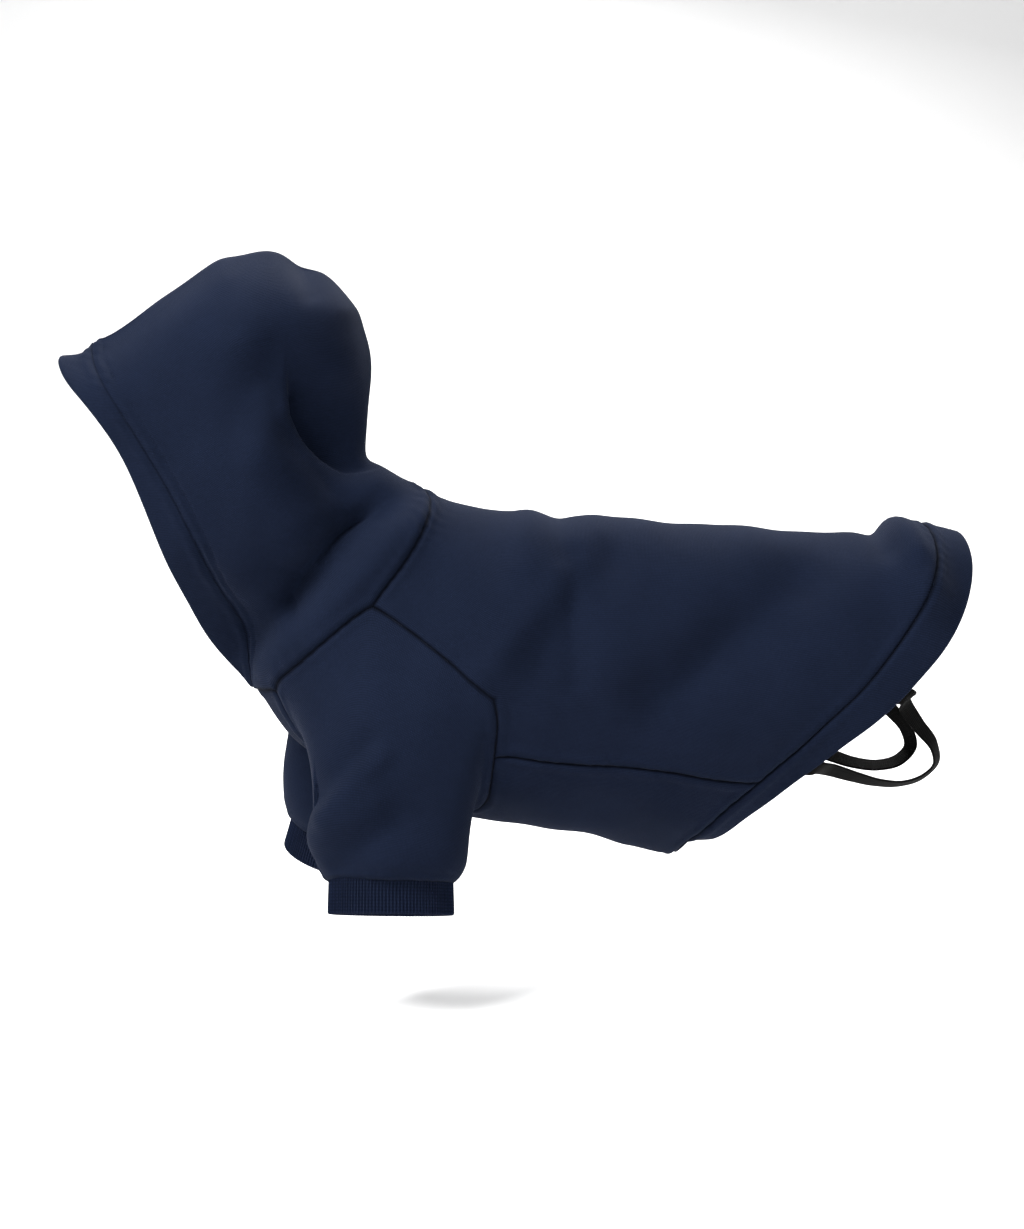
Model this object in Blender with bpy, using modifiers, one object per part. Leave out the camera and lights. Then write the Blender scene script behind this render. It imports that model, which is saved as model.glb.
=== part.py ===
"""A hooded dog parka, shown filled out as on a dog that faces -X, with +Z up.

The origin lies on the cloth's inner face over the withers. Every panel is cut from one skin: a coarse
cage of body, sleeves and hood, smoothed by subdivision, then pushed in and out along its folds. Each
panel is that skin made as thick as its cloth, with a small gap at every seam.
"""

import math

import bpy
import numpy as np
from mathutils import Vector
from mathutils.bvhtree import BVHTree

# Driving sizes, in metres.
BACK_LENGTH = 0.296
CHEST_DEPTH = 0.168
CHEST_WIDTH = 0.130
HOOD_LENGTH = 0.205
HOOD_HEIGHT = 0.132
HOOD_WIDTH = 0.122
HOOD_ROUNDING = 0.062
FACE_WIDTH = 0.094
CHIN_GAP = 0.003
SLEEVE_DROP = 0.1845
SLEEVE_LENGTHWISE = 0.079
SLEEVE_CROSSWISE = 0.053
SLEEVE_SPREAD = 0.0535
SLEEVE_TILT = 0.32
CUFF_HEIGHT = 0.0225
CUFF_TUCK = 0.0065
STRAP_WIDTH = 0.010

# Cloth thicknesses.
CLOTH = 0.0022
HEM_CLOTH = 0.0034
CUFF_CLOTH = 0.0026
STRAP_CLOTH = 0.0014

# Clearances, and how much thicker a wall may get at a sharp bend.
SEAM_GAP = 0.0006
STRAP_CLEARANCE = 0.0008
MOST_MITRE = 1.7

# How far each front leg's sleeve swings forward, in degrees.
SWING = {"left": 0.5, "right": 15.0}
SIDES = {"left": -1, "right": 1}

# The cage. RING edges run round each half of the body, from spine to belly.
RING = 11
ARMHOLE_TOP, BELLY_SEAM, ARMHOLE_UNDER = 5, 7, 9
ARMHOLE_ROWS = 3
BODY_ROWS = 10
HOOD_ROWS = 8
SMOOTHING = 1

# Body sections. Lengths along x are shares of BACK_LENGTH, heights and bows of CHEST_DEPTH and widths
# of CHEST_WIDTH. The angles, from the spine, are where the seams cross the section.
BODY_COLUMNS = (
    "row", "top_x", "top_z", "bottom_x", "bottom_z", "width",
    "bow_back", "bow_belly", "armhole_top", "belly_seam", "armhole_under",
)
BODY_SECTIONS = (
    (0, -0.208, 0.079, -0.526, -0.548, 0.71, 0.120, 0.070, 80, 120, 146),
    (1, -0.164, 0.052, -0.465, -0.725, 0.85, 0.145, 0.110, 79, 117, 155),
    (2, -0.112, 0.022, -0.312, -0.918, 0.95, 0.105, 0.090, 85, 116, 154),
    (3, -0.056, 0.028, -0.115, -0.985, 1.00, 0.010, 0.010, 98, 117, 152),
    (4, 0.040, 0.004, -0.035, -1.005, 1.01, 0.020, 0.010, 96, 117, 151),
    (5, 0.150, 0.001, 0.050, -1.020, 1.00, 0.030, 0.005, 95, 117, 151),
    (6, 0.270, -0.009, 0.120, -1.030, 0.99, 0.045, 0.005, 95, 118, 151),
    (7, 0.390, -0.025, 0.170, -1.040, 0.97, 0.065, 0.010, 95, 118, 151),
    (8, 0.500, -0.044, 0.200, -1.048, 0.95, 0.090, 0.015, 95, 118, 152),
    (9, 0.604, -0.060, 0.220, -1.054, 0.93, 0.115, 0.025, 95, 118, 153),
    (10, 0.708, -0.006, 0.238, -1.058, 0.90, 0.150, 0.035, 95, 118, 154),
    (11, 0.760, -0.038, 0.290, -1.042, 0.89, 0.190, 0.050, 95, 118, 154),
)
SIDE_FULLNESS = 0.85

# The hood's seam over the crown, from the nape up the back. Shares of HOOD_LENGTH forward of the
# nape and of HOOD_HEIGHT above it.
BACK_SEAM = (
    (0.000, 0.000), (0.070, 0.062), (0.132, 0.115), (0.176, 0.128), (0.170, 0.260),
    (0.150, 0.440), (0.152, 0.595), (0.192, 0.728), (0.236, 0.860),
)
CROWN_SEAM = (
    (0.236, 0.850), (0.280, 0.900), (0.335, 0.928), (0.400, 0.976), (0.465, 0.954),
    (0.535, 0.930), (0.600, 0.905), (0.665, 0.815), (0.738, 0.738), (0.808, 0.670),
    (0.848, 0.630), (0.888, 0.595),
)
# The free edge of the face opening. The two tables say how far the hem's edge and its seam bend back
# from straight, at shares of their length from the chin up, as shares of that length.
FACE_TIP = (0.988, 0.575)
CHIN_TIP = (0.490, -0.775)
EDGE_BEND = (
    (0.00, 0.000), (0.07, -0.020), (0.15, -0.014), (0.27, 0.009), (0.39, 0.030),
    (0.54, 0.056), (0.70, 0.078), (0.88, 0.048), (1.00, 0.000),
)
SEAM_BEND = (
    (0.00, 0.000), (0.03, 0.020), (0.14, 0.060), (0.27, 0.073), (0.44, 0.081),
    (0.59, 0.068), (0.80, 0.042), (0.90, 0.020), (1.00, 0.000),
)

# Each sleeve's rings: shares of the way down and of the way out from the armhole to the sleeve's end.
SLEEVE_RINGS = ((0.25, 0.42), (0.50, 0.72), (0.76, 0.92), (1.00, 1.00))

# Folds. Each is a ridge, or a valley where the height is negative, along a line seen from the side,
# given in shares of BACK_LENGTH and CHEST_DEPTH. Reach is its half width, in shares of CHEST_DEPTH.
# Middle is the share of the height left on the centre plane, and far on the far side.
FOLD_COLUMNS = ("on", "start", "end", "reach", "height", "middle", "far")
FOLDS = (
    ("body", (0.040, -0.10), (-0.070, -0.32), 0.105, 0.0030, 1.0, 0.8),
    ("body", (0.085, -0.12), (0.010, -0.42), 0.100, -0.0040, 1.0, 0.8),
    ("body", (0.350, -0.36), (0.200, -0.60), 0.105, -0.0045, 1.0, 0.7),
    ("body", (0.560, -0.22), (0.480, -0.40), 0.150, 0.0025, 1.0, 0.9),
    ("body", (0.660, 0.00), (0.672, -0.22), 0.080, 0.0120, 0.5, 1.0),
    ("body", (0.660, -0.38), (0.560, -0.60), 0.085, 0.0035, 1.0, 1.0),
    ("belly", (0.170, -1.04), (0.260, -1.05), 0.110, 0.0080, 1.0, 1.0),
    ("hood", (-0.270, 0.06), (-0.530, -0.38), 0.085, -0.0110, 0.0, 1.0),
    ("hood", (-0.225, 0.00), (-0.515, -0.50), 0.070, 0.0040, 0.3, 1.0),
    ("hood", (-0.470, 0.42), (-0.340, 0.19), 0.150, -0.0180, 0.0, 1.0),
    ("hood", (-0.480, 0.20), (-0.280, 0.09), 0.080, 0.0060, 0.0, 1.0),
    ("sleeve", (-0.400, -1.00), (-0.290, -0.84), 0.060, 0.0040, 1.0, 0.6),
    ("sleeve", (-0.360, -1.04), (-0.260, -0.92), 0.070, -0.0035, 1.0, 0.6),
)
MIDDLE_REACH = 0.17

# Panel names by the tag on the skin's faces, with each one's cloth.
PANELS = (
    ("back_panel", CLOTH), ("belly_panel", CLOTH), ("hem_band", HEM_CLOTH),
    ("sleeve_left", CLOTH), ("sleeve_right", CLOTH), ("cuff_left", CUFF_CLOTH),
    ("cuff_right", CUFF_CLOTH), ("hood_left", CLOTH), ("hood_right", CLOTH),
    ("face_hem", HEM_CLOTH),
)
TAG = {name: number for number, (name, _) in enumerate(PANELS)}

# Each leg strap's route outside the hem: shares of BACK_LENGTH and CHEST_DEPTH, and how far out to
# the side as a share of half CHEST_WIDTH. The turn is the ribbon's, in degrees, about its route.
STRAP_ROUTE = (
    (0.648, -0.580, 0.62, 25), (0.680, -0.655, 0.52, 38), (0.711, -0.724, 0.46, 52),
    (0.717, -0.781, 0.42, 60), (0.694, -0.826, 0.40, 64), (0.656, -0.846, 0.42, 64),
    (0.610, -0.840, 0.46, 58), (0.565, -0.817, 0.53, 48), (0.518, -0.788, 0.62, 38),
)
STRAP_ENDS = (80, 112)
STRAP_STEPS = 32

NAVY = (0.016, 0.024, 0.055, 1.0)
BLACK = (0.006, 0.006, 0.006, 1.0)


def smooth_step(low, high, value):
    """0 below low, 1 above high, and a smooth rise between them."""
    share = min(1.0, max(0.0, (value - low) / (high - low)))
    return share * share * (3 - 2 * share)


def through(rows, at):
    """The value at a place in a table whose first column is the place, on a smooth curve through its rows."""
    table = np.array(rows, float)
    places, values = table[:, 0], table[:, 1:]
    slopes = np.gradient(values, places, axis=0)
    k = int(np.clip(np.searchsorted(places, at, side="right") - 1, 0, len(places) - 2))
    step = places[k + 1] - places[k]
    t = (at - places[k]) / step
    return (
        (1 + 2 * t) * (1 - t) ** 2 * values[k]
        + t * (1 - t) ** 2 * step * slopes[k]
        + t * t * (3 - 2 * t) * values[k + 1]
        + t * t * (t - 1) * step * slopes[k + 1]
    )


def body_section(row):
    """The named sizes of the body's section at a cage row."""
    return dict(zip(BODY_COLUMNS[1:], through(BODY_SECTIONS, row)))


def section_point(section, angle, side):
    """The skin's point on a section, at an angle in degrees from the spine, on side -1 or 1."""
    top = Vector((section["top_x"] * BACK_LENGTH, section["top_z"] * CHEST_DEPTH))
    bottom = Vector((section["bottom_x"] * BACK_LENGTH, section["bottom_z"] * CHEST_DEPTH))
    chord = (top - bottom) / 2
    rearward = Vector((-chord.y, chord.x)).normalized() * -1
    turn = math.radians(angle)
    belly_share = smooth_step(40, 140, angle)
    bow = section["bow_back"] * (1 - belly_share) + section["bow_belly"] * belly_share
    place = (top + bottom) / 2 + chord * math.cos(turn) + rearward * bow * CHEST_DEPTH * math.sin(turn)
    half_width = section["width"] * CHEST_WIDTH / 2
    out = side * half_width * max(0.0, math.sin(turn)) ** SIDE_FULLNESS
    return Vector((place.x, out, place.y))


def ring_angle(section, j):
    """The angle of the j-th cage line, spaced evenly between the spine, the seams and the belly."""
    stops = (
        (0, 0.0), (ARMHOLE_TOP, section["armhole_top"]), (BELLY_SEAM, section["belly_seam"]),
        (ARMHOLE_UNDER, section["armhole_under"]), (RING, 180.0),
    )
    return float(np.interp(j, [s[0] for s in stops], [s[1] for s in stops]))


def body_point(row, j, side):
    section = body_section(row)
    return section_point(section, ring_angle(section, j), side)


class Cage:
    """Named points and tagged faces, which become one mesh."""

    def __init__(self):
        self.places, self.faces, self.tags = {}, [], []

    def put(self, key, place):
        self.places[key] = Vector(place)
        return key

    def face(self, keys, tag, outward):
        self.faces.append(keys if outward else keys[::-1])
        self.tags.append(TAG[tag])

    def mesh(self, name):
        order = {key: number for number, key in enumerate(self.places)}
        mesh = bpy.data.meshes.new(name)
        mesh.from_pydata(
            list(self.places.values()), [], [[order[key] for key in face] for face in self.faces]
        )
        mesh.polygons.foreach_set("material_index", self.tags)
        mesh.update()
        return mesh


def body_key(row, j, side):
    return ("body", row, j, 0 if j in (0, RING) else side)


def add_body(cage):
    """The body's tube from the neck seam to the free edge of the hem, open at the two armholes."""
    for side in SIDES.values():
        for row in range(BODY_ROWS + 2):
            for j in range(RING + 1):
                inside_armhole = row < ARMHOLE_ROWS and ARMHOLE_TOP < j < ARMHOLE_UNDER and row > 0
                if not inside_armhole:
                    cage.put(body_key(row, j, side), body_point(row, j, side))
        for row in range(BODY_ROWS + 1):
            for j in range(RING):
                if row < ARMHOLE_ROWS and ARMHOLE_TOP <= j < ARMHOLE_UNDER:
                    continue
                if row == BODY_ROWS:
                    tag = "hem_band"
                elif j < BELLY_SEAM and not (row < ARMHOLE_ROWS and j >= ARMHOLE_TOP):
                    tag = "back_panel"
                else:
                    tag = "belly_panel"
                corners = [(row, j), (row + 1, j), (row + 1, j + 1), (row, j + 1)]
                cage.face([body_key(*c, side) for c in corners], tag, side > 0)


def armhole_loop(side):
    """The cage points round an armhole: back along its top, down its rear, forward underneath, up the neck."""
    top = [(row, ARMHOLE_TOP) for row in range(ARMHOLE_ROWS)]
    rear = [(ARMHOLE_ROWS, j) for j in range(ARMHOLE_TOP, ARMHOLE_UNDER)]
    under = [(row, ARMHOLE_UNDER) for row in range(ARMHOLE_ROWS, 0, -1)]
    neck = [(0, j) for j in range(ARMHOLE_UNDER, ARMHOLE_TOP, -1)]
    return [body_key(*c, side) for c in top + rear + under + neck]


def sleeve_ring(count, side, drop, lengthwise, crosswise, swing):
    """A ring of points round a front leg, matched to the armhole's loop, swung about the shoulder. Its
    outer side is the higher one."""
    shoulder = Vector((-0.262 * BACK_LENGTH, -0.30 * CHEST_DEPTH))
    first_angle, sweep = math.radians(122), -2 * math.pi / count
    points = []
    for n in range(count):
        turn = first_angle + sweep * n
        rise = SLEEVE_TILT * crosswise / 2 * math.sin(turn)
        flat = Vector((shoulder.x + lengthwise / 2 * math.cos(turn), rise - drop))
        arm = flat - shoulder
        lean = math.radians(swing)
        arm = Vector((
            arm.x * math.cos(lean) + arm.y * math.sin(lean),
            arm.y * math.cos(lean) - arm.x * math.sin(lean),
        ))
        out = SLEEVE_SPREAD + crosswise / 2 * math.sin(turn)
        points.append(Vector((shoulder.x + arm.x, side * out, shoulder.y + arm.y)))
    return points


def add_sleeve(cage, name):
    """One sleeve and its cuff, from the armhole's loop down. The sleeve's end turns in above the cuff."""
    side, swing = SIDES[name], SWING[name]
    loop = armhole_loop(side)
    count = len(loop)
    start = [cage.places[key] for key in loop]

    def ring(drop, inset):
        lengthwise, crosswise = SLEEVE_LENGTHWISE - 2 * inset, SLEEVE_CROSSWISE - 2 * inset
        return sleeve_ring(count, side, drop, lengthwise, crosswise, swing)

    end = ring(SLEEVE_DROP, 0.0)
    rings = []
    for down, outward in SLEEVE_RINGS:
        places = []
        for a, b in zip(start, end):
            place = a.lerp(b, outward)
            place.z = a.z + (b.z - a.z) * down
            places.append(place)
        rings.append((places, f"sleeve_{name}"))
    rings.append((ring(SLEEVE_DROP + CUFF_TUCK * 0.3, CUFF_TUCK), f"sleeve_{name}"))
    rings.append((ring(SLEEVE_DROP + CUFF_HEIGHT, CUFF_TUCK * 0.9), f"cuff_{name}"))
    last = loop
    for number, (places, tag) in enumerate(rings):
        keys = [cage.put((name, number, n), place) for n, place in enumerate(places)]
        for n in range(count):
            m = (n + 1) % count
            cage.face([last[n], last[m], keys[m], keys[n]], tag, side > 0)
        last = keys


def hood_place(share):
    """A point of the hood in side view, from its shares forward of the nape and above it."""
    nape = body_point(0, 0, 1)
    return Vector((nape.x - share[0] * HOOD_LENGTH, nape.z + share[1] * HOOD_HEIGHT))


def face_line(start, end, bend, share):
    """A point on an edge of the face hem in side view, from the chin up to the forehead."""
    along = end - start
    backward = Vector((along.y, -along.x))
    return start + along * share + backward * float(np.interp(share, *zip(*bend)))


def seam_distance(place, seam):
    """How far a side-view point lies from the hood's centre seam."""
    best = math.inf
    for a, b in zip(seam, seam[1:]):
        along = b - a
        share = min(1.0, max(0.0, (place - a).dot(along) / along.length_squared))
        best = min(best, (place - a - along * share).length)
    return best


def hood_grid():
    """Side-view points of the hood's half, by row up from the neck and line j forward from the nape."""
    neck = []
    for j in range(RING + 1):
        place = body_point(0, j, 1)
        neck.append(Vector((place.x, place.z)))
    back = [hood_place(s) for s in BACK_SEAM]
    crown = [hood_place(s) for s in CROWN_SEAM]
    shares = [r / HOOD_ROWS for r in range(HOOD_ROWS + 1)]
    front = [face_line(neck[-1], crown[-1], SEAM_BEND, share) for share in shares]
    grid = []
    for r in range(HOOD_ROWS + 1):
        v = r / HOOD_ROWS
        row = []
        for j in range(RING + 1):
            u = j / RING
            flat = (1 - u) * back[r] + u * front[r] + (1 - v) * neck[j] + v * crown[j]
            corners = (
                (1 - u) * (1 - v) * neck[0] + u * (1 - v) * neck[-1]
                + (1 - u) * v * crown[0] + u * v * crown[-1]
            )
            row.append(flat - corners)
        grid.append(row)
    return grid, back + crown[1:]


def add_hood(cage):
    """Two side panels that meet along the crown, and the wide hem round the face opening."""
    grid, seam = hood_grid()
    tip = hood_place(FACE_TIP)
    chin = hood_place(CHIN_TIP)
    for name, side in SIDES.items():

        def out_at(place, r, j):
            reach = min(1.0, seam_distance(place, seam) / HOOD_ROUNDING)
            forward = smooth_step(0.35, 1.0, j / RING)
            half = (HOOD_WIDTH * (1 - forward) + FACE_WIDTH * forward) / 2
            dome = half * math.sqrt(max(0.0, 1 - (1 - reach) ** 2))
            neck = max(body_point(0, j, 1).y, CHIN_GAP / 2)
            return neck + (dome - neck) * smooth_step(0, 3.5, r)

        def key(r, j):
            if r == 0 and j < RING:
                return body_key(0, j, side)
            if r == HOOD_ROWS and j >= RING:
                return ("hood", r, j, 0)
            return ("hood", r, j, side)

        top_corner = (HOOD_ROWS, 0)
        for r in range(HOOD_ROWS + 1):
            for j in range(RING + 1):
                if (r == 0 and j < RING) or (r, j) == top_corner:
                    continue
                place = grid[r][j]
                on_seam = j == 0 or r == HOOD_ROWS
                out = 0.0 if on_seam else side * out_at(place, r, j)
                cage.put(key(r, j), (place.x, out, place.y))
            rim = face_line(chin, tip, EDGE_BEND, r / HOOD_ROWS)
            inner = cage.places[key(r, RING)]
            out = 0.0 if r == HOOD_ROWS else inner.y * 0.97
            cage.put(key(r, RING + 1), (rim.x, out, rim.y))
        for r in range(HOOD_ROWS):
            for j in range(RING + 1):
                tag = "face_hem" if j == RING else f"hood_{name}"
                corners = [(r, j), (r + 1, j), (r + 1, j + 1), (r, j + 1)]
                cage.face([key(*c) for c in corners if c != top_corner], tag, side < 0)


def smoothed(mesh, levels):
    """The mesh after Blender's subdivision surface."""
    helper = bpy.data.objects.new("skin_cage", mesh)
    bpy.context.scene.collection.objects.link(helper)
    surface = helper.modifiers.new("smooth", "SUBSURF")
    surface.levels = surface.render_levels = levels
    surface.boundary_smooth = "ALL"
    bpy.context.view_layer.update()
    graph = bpy.context.evaluated_depsgraph_get()
    made = bpy.data.meshes.new_from_object(helper.evaluated_get(graph))
    bpy.data.objects.remove(helper)
    bpy.data.meshes.remove(mesh)
    return made


def group_of(tag):
    """What a fold's first column calls the panel."""
    name = PANELS[tag][0]
    if name in ("back_panel", "belly_panel", "hem_band"):
        return ("body", "belly") if name == "belly_panel" else ("body",)
    return ("hood",) if name.startswith(("hood", "face")) else (name.split("_")[0],)


def fold_heights(places, groups):
    """How far each skin point is pushed out by the folds."""
    heights = np.zeros(len(places))
    for row in FOLDS:
        fold = dict(zip(FOLD_COLUMNS, row))
        size = np.array((BACK_LENGTH, CHEST_DEPTH))
        start, end = np.array(fold["start"]) * size, np.array(fold["end"]) * size
        along = end - start
        flat = places[:, [0, 2]]
        share = np.clip(((flat - start) @ along) / (along @ along), 0, 1)
        away = np.linalg.norm(flat - start - share[:, None] * along, axis=1)
        height = fold["height"] * np.exp(-((away / (fold["reach"] * CHEST_DEPTH)) ** 2))
        height *= np.where(places[:, 1] > 0, fold["far"], 1.0)
        centred = np.exp(-((places[:, 1] / (MIDDLE_REACH * CHEST_WIDTH)) ** 2))
        height *= 1 - (1 - fold["middle"]) * centred
        if fold["on"] == "sleeve":
            height *= np.abs(places[:, 1]) > SLEEVE_SPREAD
        if fold["on"] == "belly":
            height *= centred
        on = np.array([fold["on"] in names for names in groups])
        heights += np.where(on, height, 0.0)
    return heights


class Skin:
    """The garment's middle surface: places, outward normals, and tagged faces."""

    def __init__(self, levels):
        cage = Cage()
        add_body(cage)
        for name in SIDES:
            add_sleeve(cage, name)
        add_hood(cage)
        mesh = smoothed(cage.mesh("skin"), levels)
        groups = [set() for _ in mesh.vertices]
        for polygon in mesh.polygons:
            for v in polygon.vertices:
                groups[v].update(group_of(polygon.material_index))
        places, normals = self.read(mesh)
        heights = fold_heights(places, groups)
        moved = places + normals * heights[:, None]
        on_seam = np.abs(places[:, 1]) < 1e-7
        moved[on_seam, 1] = 0.0
        mesh.vertices.foreach_set("co", moved.ravel())
        mesh.update()
        self.drop = self.height_at_origin(mesh) - CLOTH / 2
        moved[:, 2] -= self.drop
        mesh.vertices.foreach_set("co", moved.ravel())
        mesh.update()
        self.places, self.normals = self.read(mesh)
        self.spread = self.mitre(mesh)
        self.faces = [tuple(p.vertices) for p in mesh.polygons]
        self.tags = [p.material_index for p in mesh.polygons]
        bpy.data.meshes.remove(mesh)

    @staticmethod
    def height_at_origin(mesh):
        """How high the back's middle surface lies above the point that becomes the origin."""
        tree = BVHTree.FromPolygons([v.co for v in mesh.vertices], [p.vertices for p in mesh.polygons])
        beside = SEAM_GAP
        return tree.ray_cast(Vector((0, beside, -CHEST_DEPTH / 2)), Vector((0, 0, 1)))[0].z

    @staticmethod
    def read(mesh):
        places = np.empty(len(mesh.vertices) * 3)
        normals = np.empty(len(mesh.vertices) * 3)
        mesh.vertices.foreach_get("co", places)
        mesh.vertex_normals.foreach_get("vector", normals)
        places, normals = places.reshape(-1, 3), normals.reshape(-1, 3)
        middle = np.abs(places[:, 1]) < 1e-7
        normals[middle, 1] = 0.0
        normals /= np.linalg.norm(normals, axis=1, keepdims=True)
        return places, normals

    def mitre(self, mesh):
        """How much farther a point must move along its normal where the skin bends sharply."""
        straight = np.zeros(len(self.places))
        count = np.zeros(len(self.places))
        for p in mesh.polygons:
            for v in p.vertices:
                straight[v] += self.normals[v] @ np.array(p.normal)
                count[v] += 1
        return 1 / np.clip(straight / count, 1 / MOST_MITRE, 1)

    def panel(self, name):
        """The panel's own points, normals and faces, drawn back from its seams by half the gap."""
        faces = [f for f, tag in zip(self.faces, self.tags) if tag == TAG[name]]
        used = sorted({v for f in faces for v in f})
        number = {v: n for n, v in enumerate(used)}
        faces = [tuple(number[v] for v in f) for f in faces]
        places, normals, spread = self.places[used].copy(), self.normals[used], self.spread[used]
        inward = np.zeros_like(places)
        for f in faces:
            centre = places[list(f)].mean(axis=0)
            for v in f:
                inward[v] += centre - places[v]
        rim = [n for edge in rim_edges(faces) for n in edge]
        for n in sorted(set(rim)):
            pull = inward[n] - normals[n] * inward[n].dot(normals[n])
            length = np.linalg.norm(pull)
            if length > 1e-9:
                places[n] += pull / length * SEAM_GAP / 2
        return places, normals * spread[:, None], faces


def rim_edges(faces):
    """The edges on one face only, each in its face's own direction."""
    seen = {}
    for f in faces:
        for a, b in zip(f, f[1:] + f[:1]):
            seen[a, b] = True
    return [edge for edge in seen if edge[::-1] not in seen]


def rim_wall(a, b, count):
    """The two triangles between a rim edge's outer and inner copies. Both panels at a seam split their
    walls along the same diagonal, so twisted walls don't cross."""
    if a < b:
        return [[b, a, b + count], [a, a + count, b + count]]
    return [[b, a, a + count], [b, a + count, b + count]]


def thick_panel(skin, name, cloth):
    """A panel as a closed solid. Both sides of a seam share the skin's normals, so its walls meet as a
    mitre there, which a Solidify on each panel, with only the panel's own normals, would cross."""
    places, normals, faces = skin.panel(name)
    outer = places + normals * cloth / 2
    inner = places - normals * cloth / 2
    count = len(places)
    solid = [list(f) for f in faces] + [[v + count for v in reversed(f)] for f in faces]
    for a, b in rim_edges(faces):
        solid += rim_wall(a, b, count)
    mesh = bpy.data.meshes.new(name)
    mesh.from_pydata(np.vstack((outer, inner)).tolist(), [], solid)
    mesh.update()
    return mesh


def strap_route(skin, side):
    """The strap's middle points and ribbon directions, from one end under the hem round to the other."""
    tree = BVHTree.FromPolygons([Vector(p) for p in skin.places], skin.faces)
    tuck = HEM_CLOTH / 2 + STRAP_CLEARANCE + STRAP_CLOTH / 2
    ends = []
    for angle in STRAP_ENDS:
        held = []
        for row in (BODY_ROWS + 0.35, BODY_ROWS + 0.70, BODY_ROWS + 1.0):
            section = body_section(row)
            spot = section_point(section, angle, side) - Vector((0, 0, skin.drop))
            place, normal, _, _ = tree.find_nearest(spot)
            edge = section_point(section, angle + 4, side) - section_point(section, angle - 4, side)
            held.append((place - normal * tuck, edge.normalized()))
        clear = (held[-1][0] - held[-2][0]).normalized() * STRAP_WIDTH / 2
        held.append((held[-1][0] + clear, held[-1][1]))
        ends.append(held)
    first, last = ends[0], [(p, e) for p, e in reversed(ends[1])]
    points = [p for p, _ in first]
    ribbons = [e for _, e in first]
    for x, z, out, turn in STRAP_ROUTE:
        height = z * CHEST_DEPTH - skin.drop
        points.append(Vector((x * BACK_LENGTH, side * out * CHEST_WIDTH / 2, height)))
        ribbons.append(turn)
    points += [p for p, _ in last]
    ribbons += [e for _, e in last]
    return points, ribbons


def strap_strip(skin, side):
    """An open strip for one leg strap: two edges either side of a smooth route."""
    points, ribbons = strap_route(skin, side)
    lengths = np.cumsum([0.0] + [(b - a).length for a, b in zip(points, points[1:])])
    rows = [(length, *p) for length, p in zip(lengths, points)]
    route = [Vector(through(rows, at)) for at in np.linspace(0, lengths[-1], STRAP_STEPS)]
    wide = []
    for k, ribbon in enumerate(ribbons):
        ahead = (points[min(k + 1, len(points) - 1)] - points[max(k - 1, 0)]).normalized()
        if isinstance(ribbon, Vector):
            across = ribbon - ahead * ribbon.dot(ahead)
        else:
            flat = ahead.cross(Vector((0, 1, 0))).normalized()
            across = flat * math.cos(math.radians(ribbon))
            across += ahead.cross(flat) * math.sin(math.radians(ribbon)) * side
        across.normalize()
        if wide and across.dot(wide[-1]) < 0:
            across.negate()
        wide.append(across)
    rows = [(length, *w) for length, w in zip(lengths, wide)]
    places = []
    for at, middle in zip(np.linspace(0, lengths[-1], STRAP_STEPS), route):
        across = Vector(through(rows, at)).normalized() * STRAP_WIDTH / 2
        places += [middle - across, middle, middle + across]
    faces = []
    for k in range(STRAP_STEPS - 1):
        for c in range(2):
            a = 3 * k + c
            faces.append((a, a + 1, a + 4, a + 3))
    return places, faces


def material(name, colour, roughness):
    made = bpy.data.materials.new(name)
    made.use_nodes = True
    shader = made.node_tree.nodes["Principled BSDF"]
    shader.inputs["Base Color"].default_value = colour
    shader.inputs["Roughness"].default_value = roughness
    shader.inputs["Metallic"].default_value = 0.0
    return made


def add_object(collection, name, mesh, finish):
    made = bpy.data.objects.new(name, mesh)
    collection.objects.link(made)
    mesh.materials.clear()
    mesh.materials.append(finish)
    mesh.shade_smooth()
    mesh.set_sharp_from_angle(angle=math.radians(50))
    return made


def add_strap(collection, skin, name, finish):
    places, faces = strap_strip(skin, SIDES[name])
    mesh = bpy.data.meshes.new(f"leg_strap_{name}")
    mesh.from_pydata(places, [], faces)
    made = add_object(collection, f"leg_strap_{name}", mesh, finish)
    wall = made.modifiers.new("webbing", "SOLIDIFY")
    wall.thickness = STRAP_CLOTH
    wall.offset = 0.0
    return made


def main():
    for old in list(bpy.data.objects):
        bpy.data.objects.remove(old)
    collection = bpy.data.collections.new("dog_parka")
    bpy.context.scene.collection.children.link(collection)
    skin = Skin(SMOOTHING)
    finishes = {
        "cloth": material("navy_cloth", NAVY, 0.85),
        "rib": material("navy_rib", NAVY, 0.9),
        "webbing": material("black_webbing", BLACK, 0.8),
    }
    for name, cloth in PANELS:
        finish = finishes["rib" if name.startswith("cuff") else "cloth"]
        add_object(collection, name, thick_panel(skin, name, cloth), finish)
    for name in SIDES:
        add_strap(collection, skin, name, finishes["webbing"])


main()
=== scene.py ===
"""The looks of the dog parka. Each cloth panel is cut from the same smooth skin as its CAD solid, made
finer, with seam grooves, folds, ribs, stitches and knitted cloth, and stands for that solid."""

import math

import bpy
import numpy as np
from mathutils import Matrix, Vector
from mathutils.bvhtree import BVHTree
from mathutils.kdtree import KDTree


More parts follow.
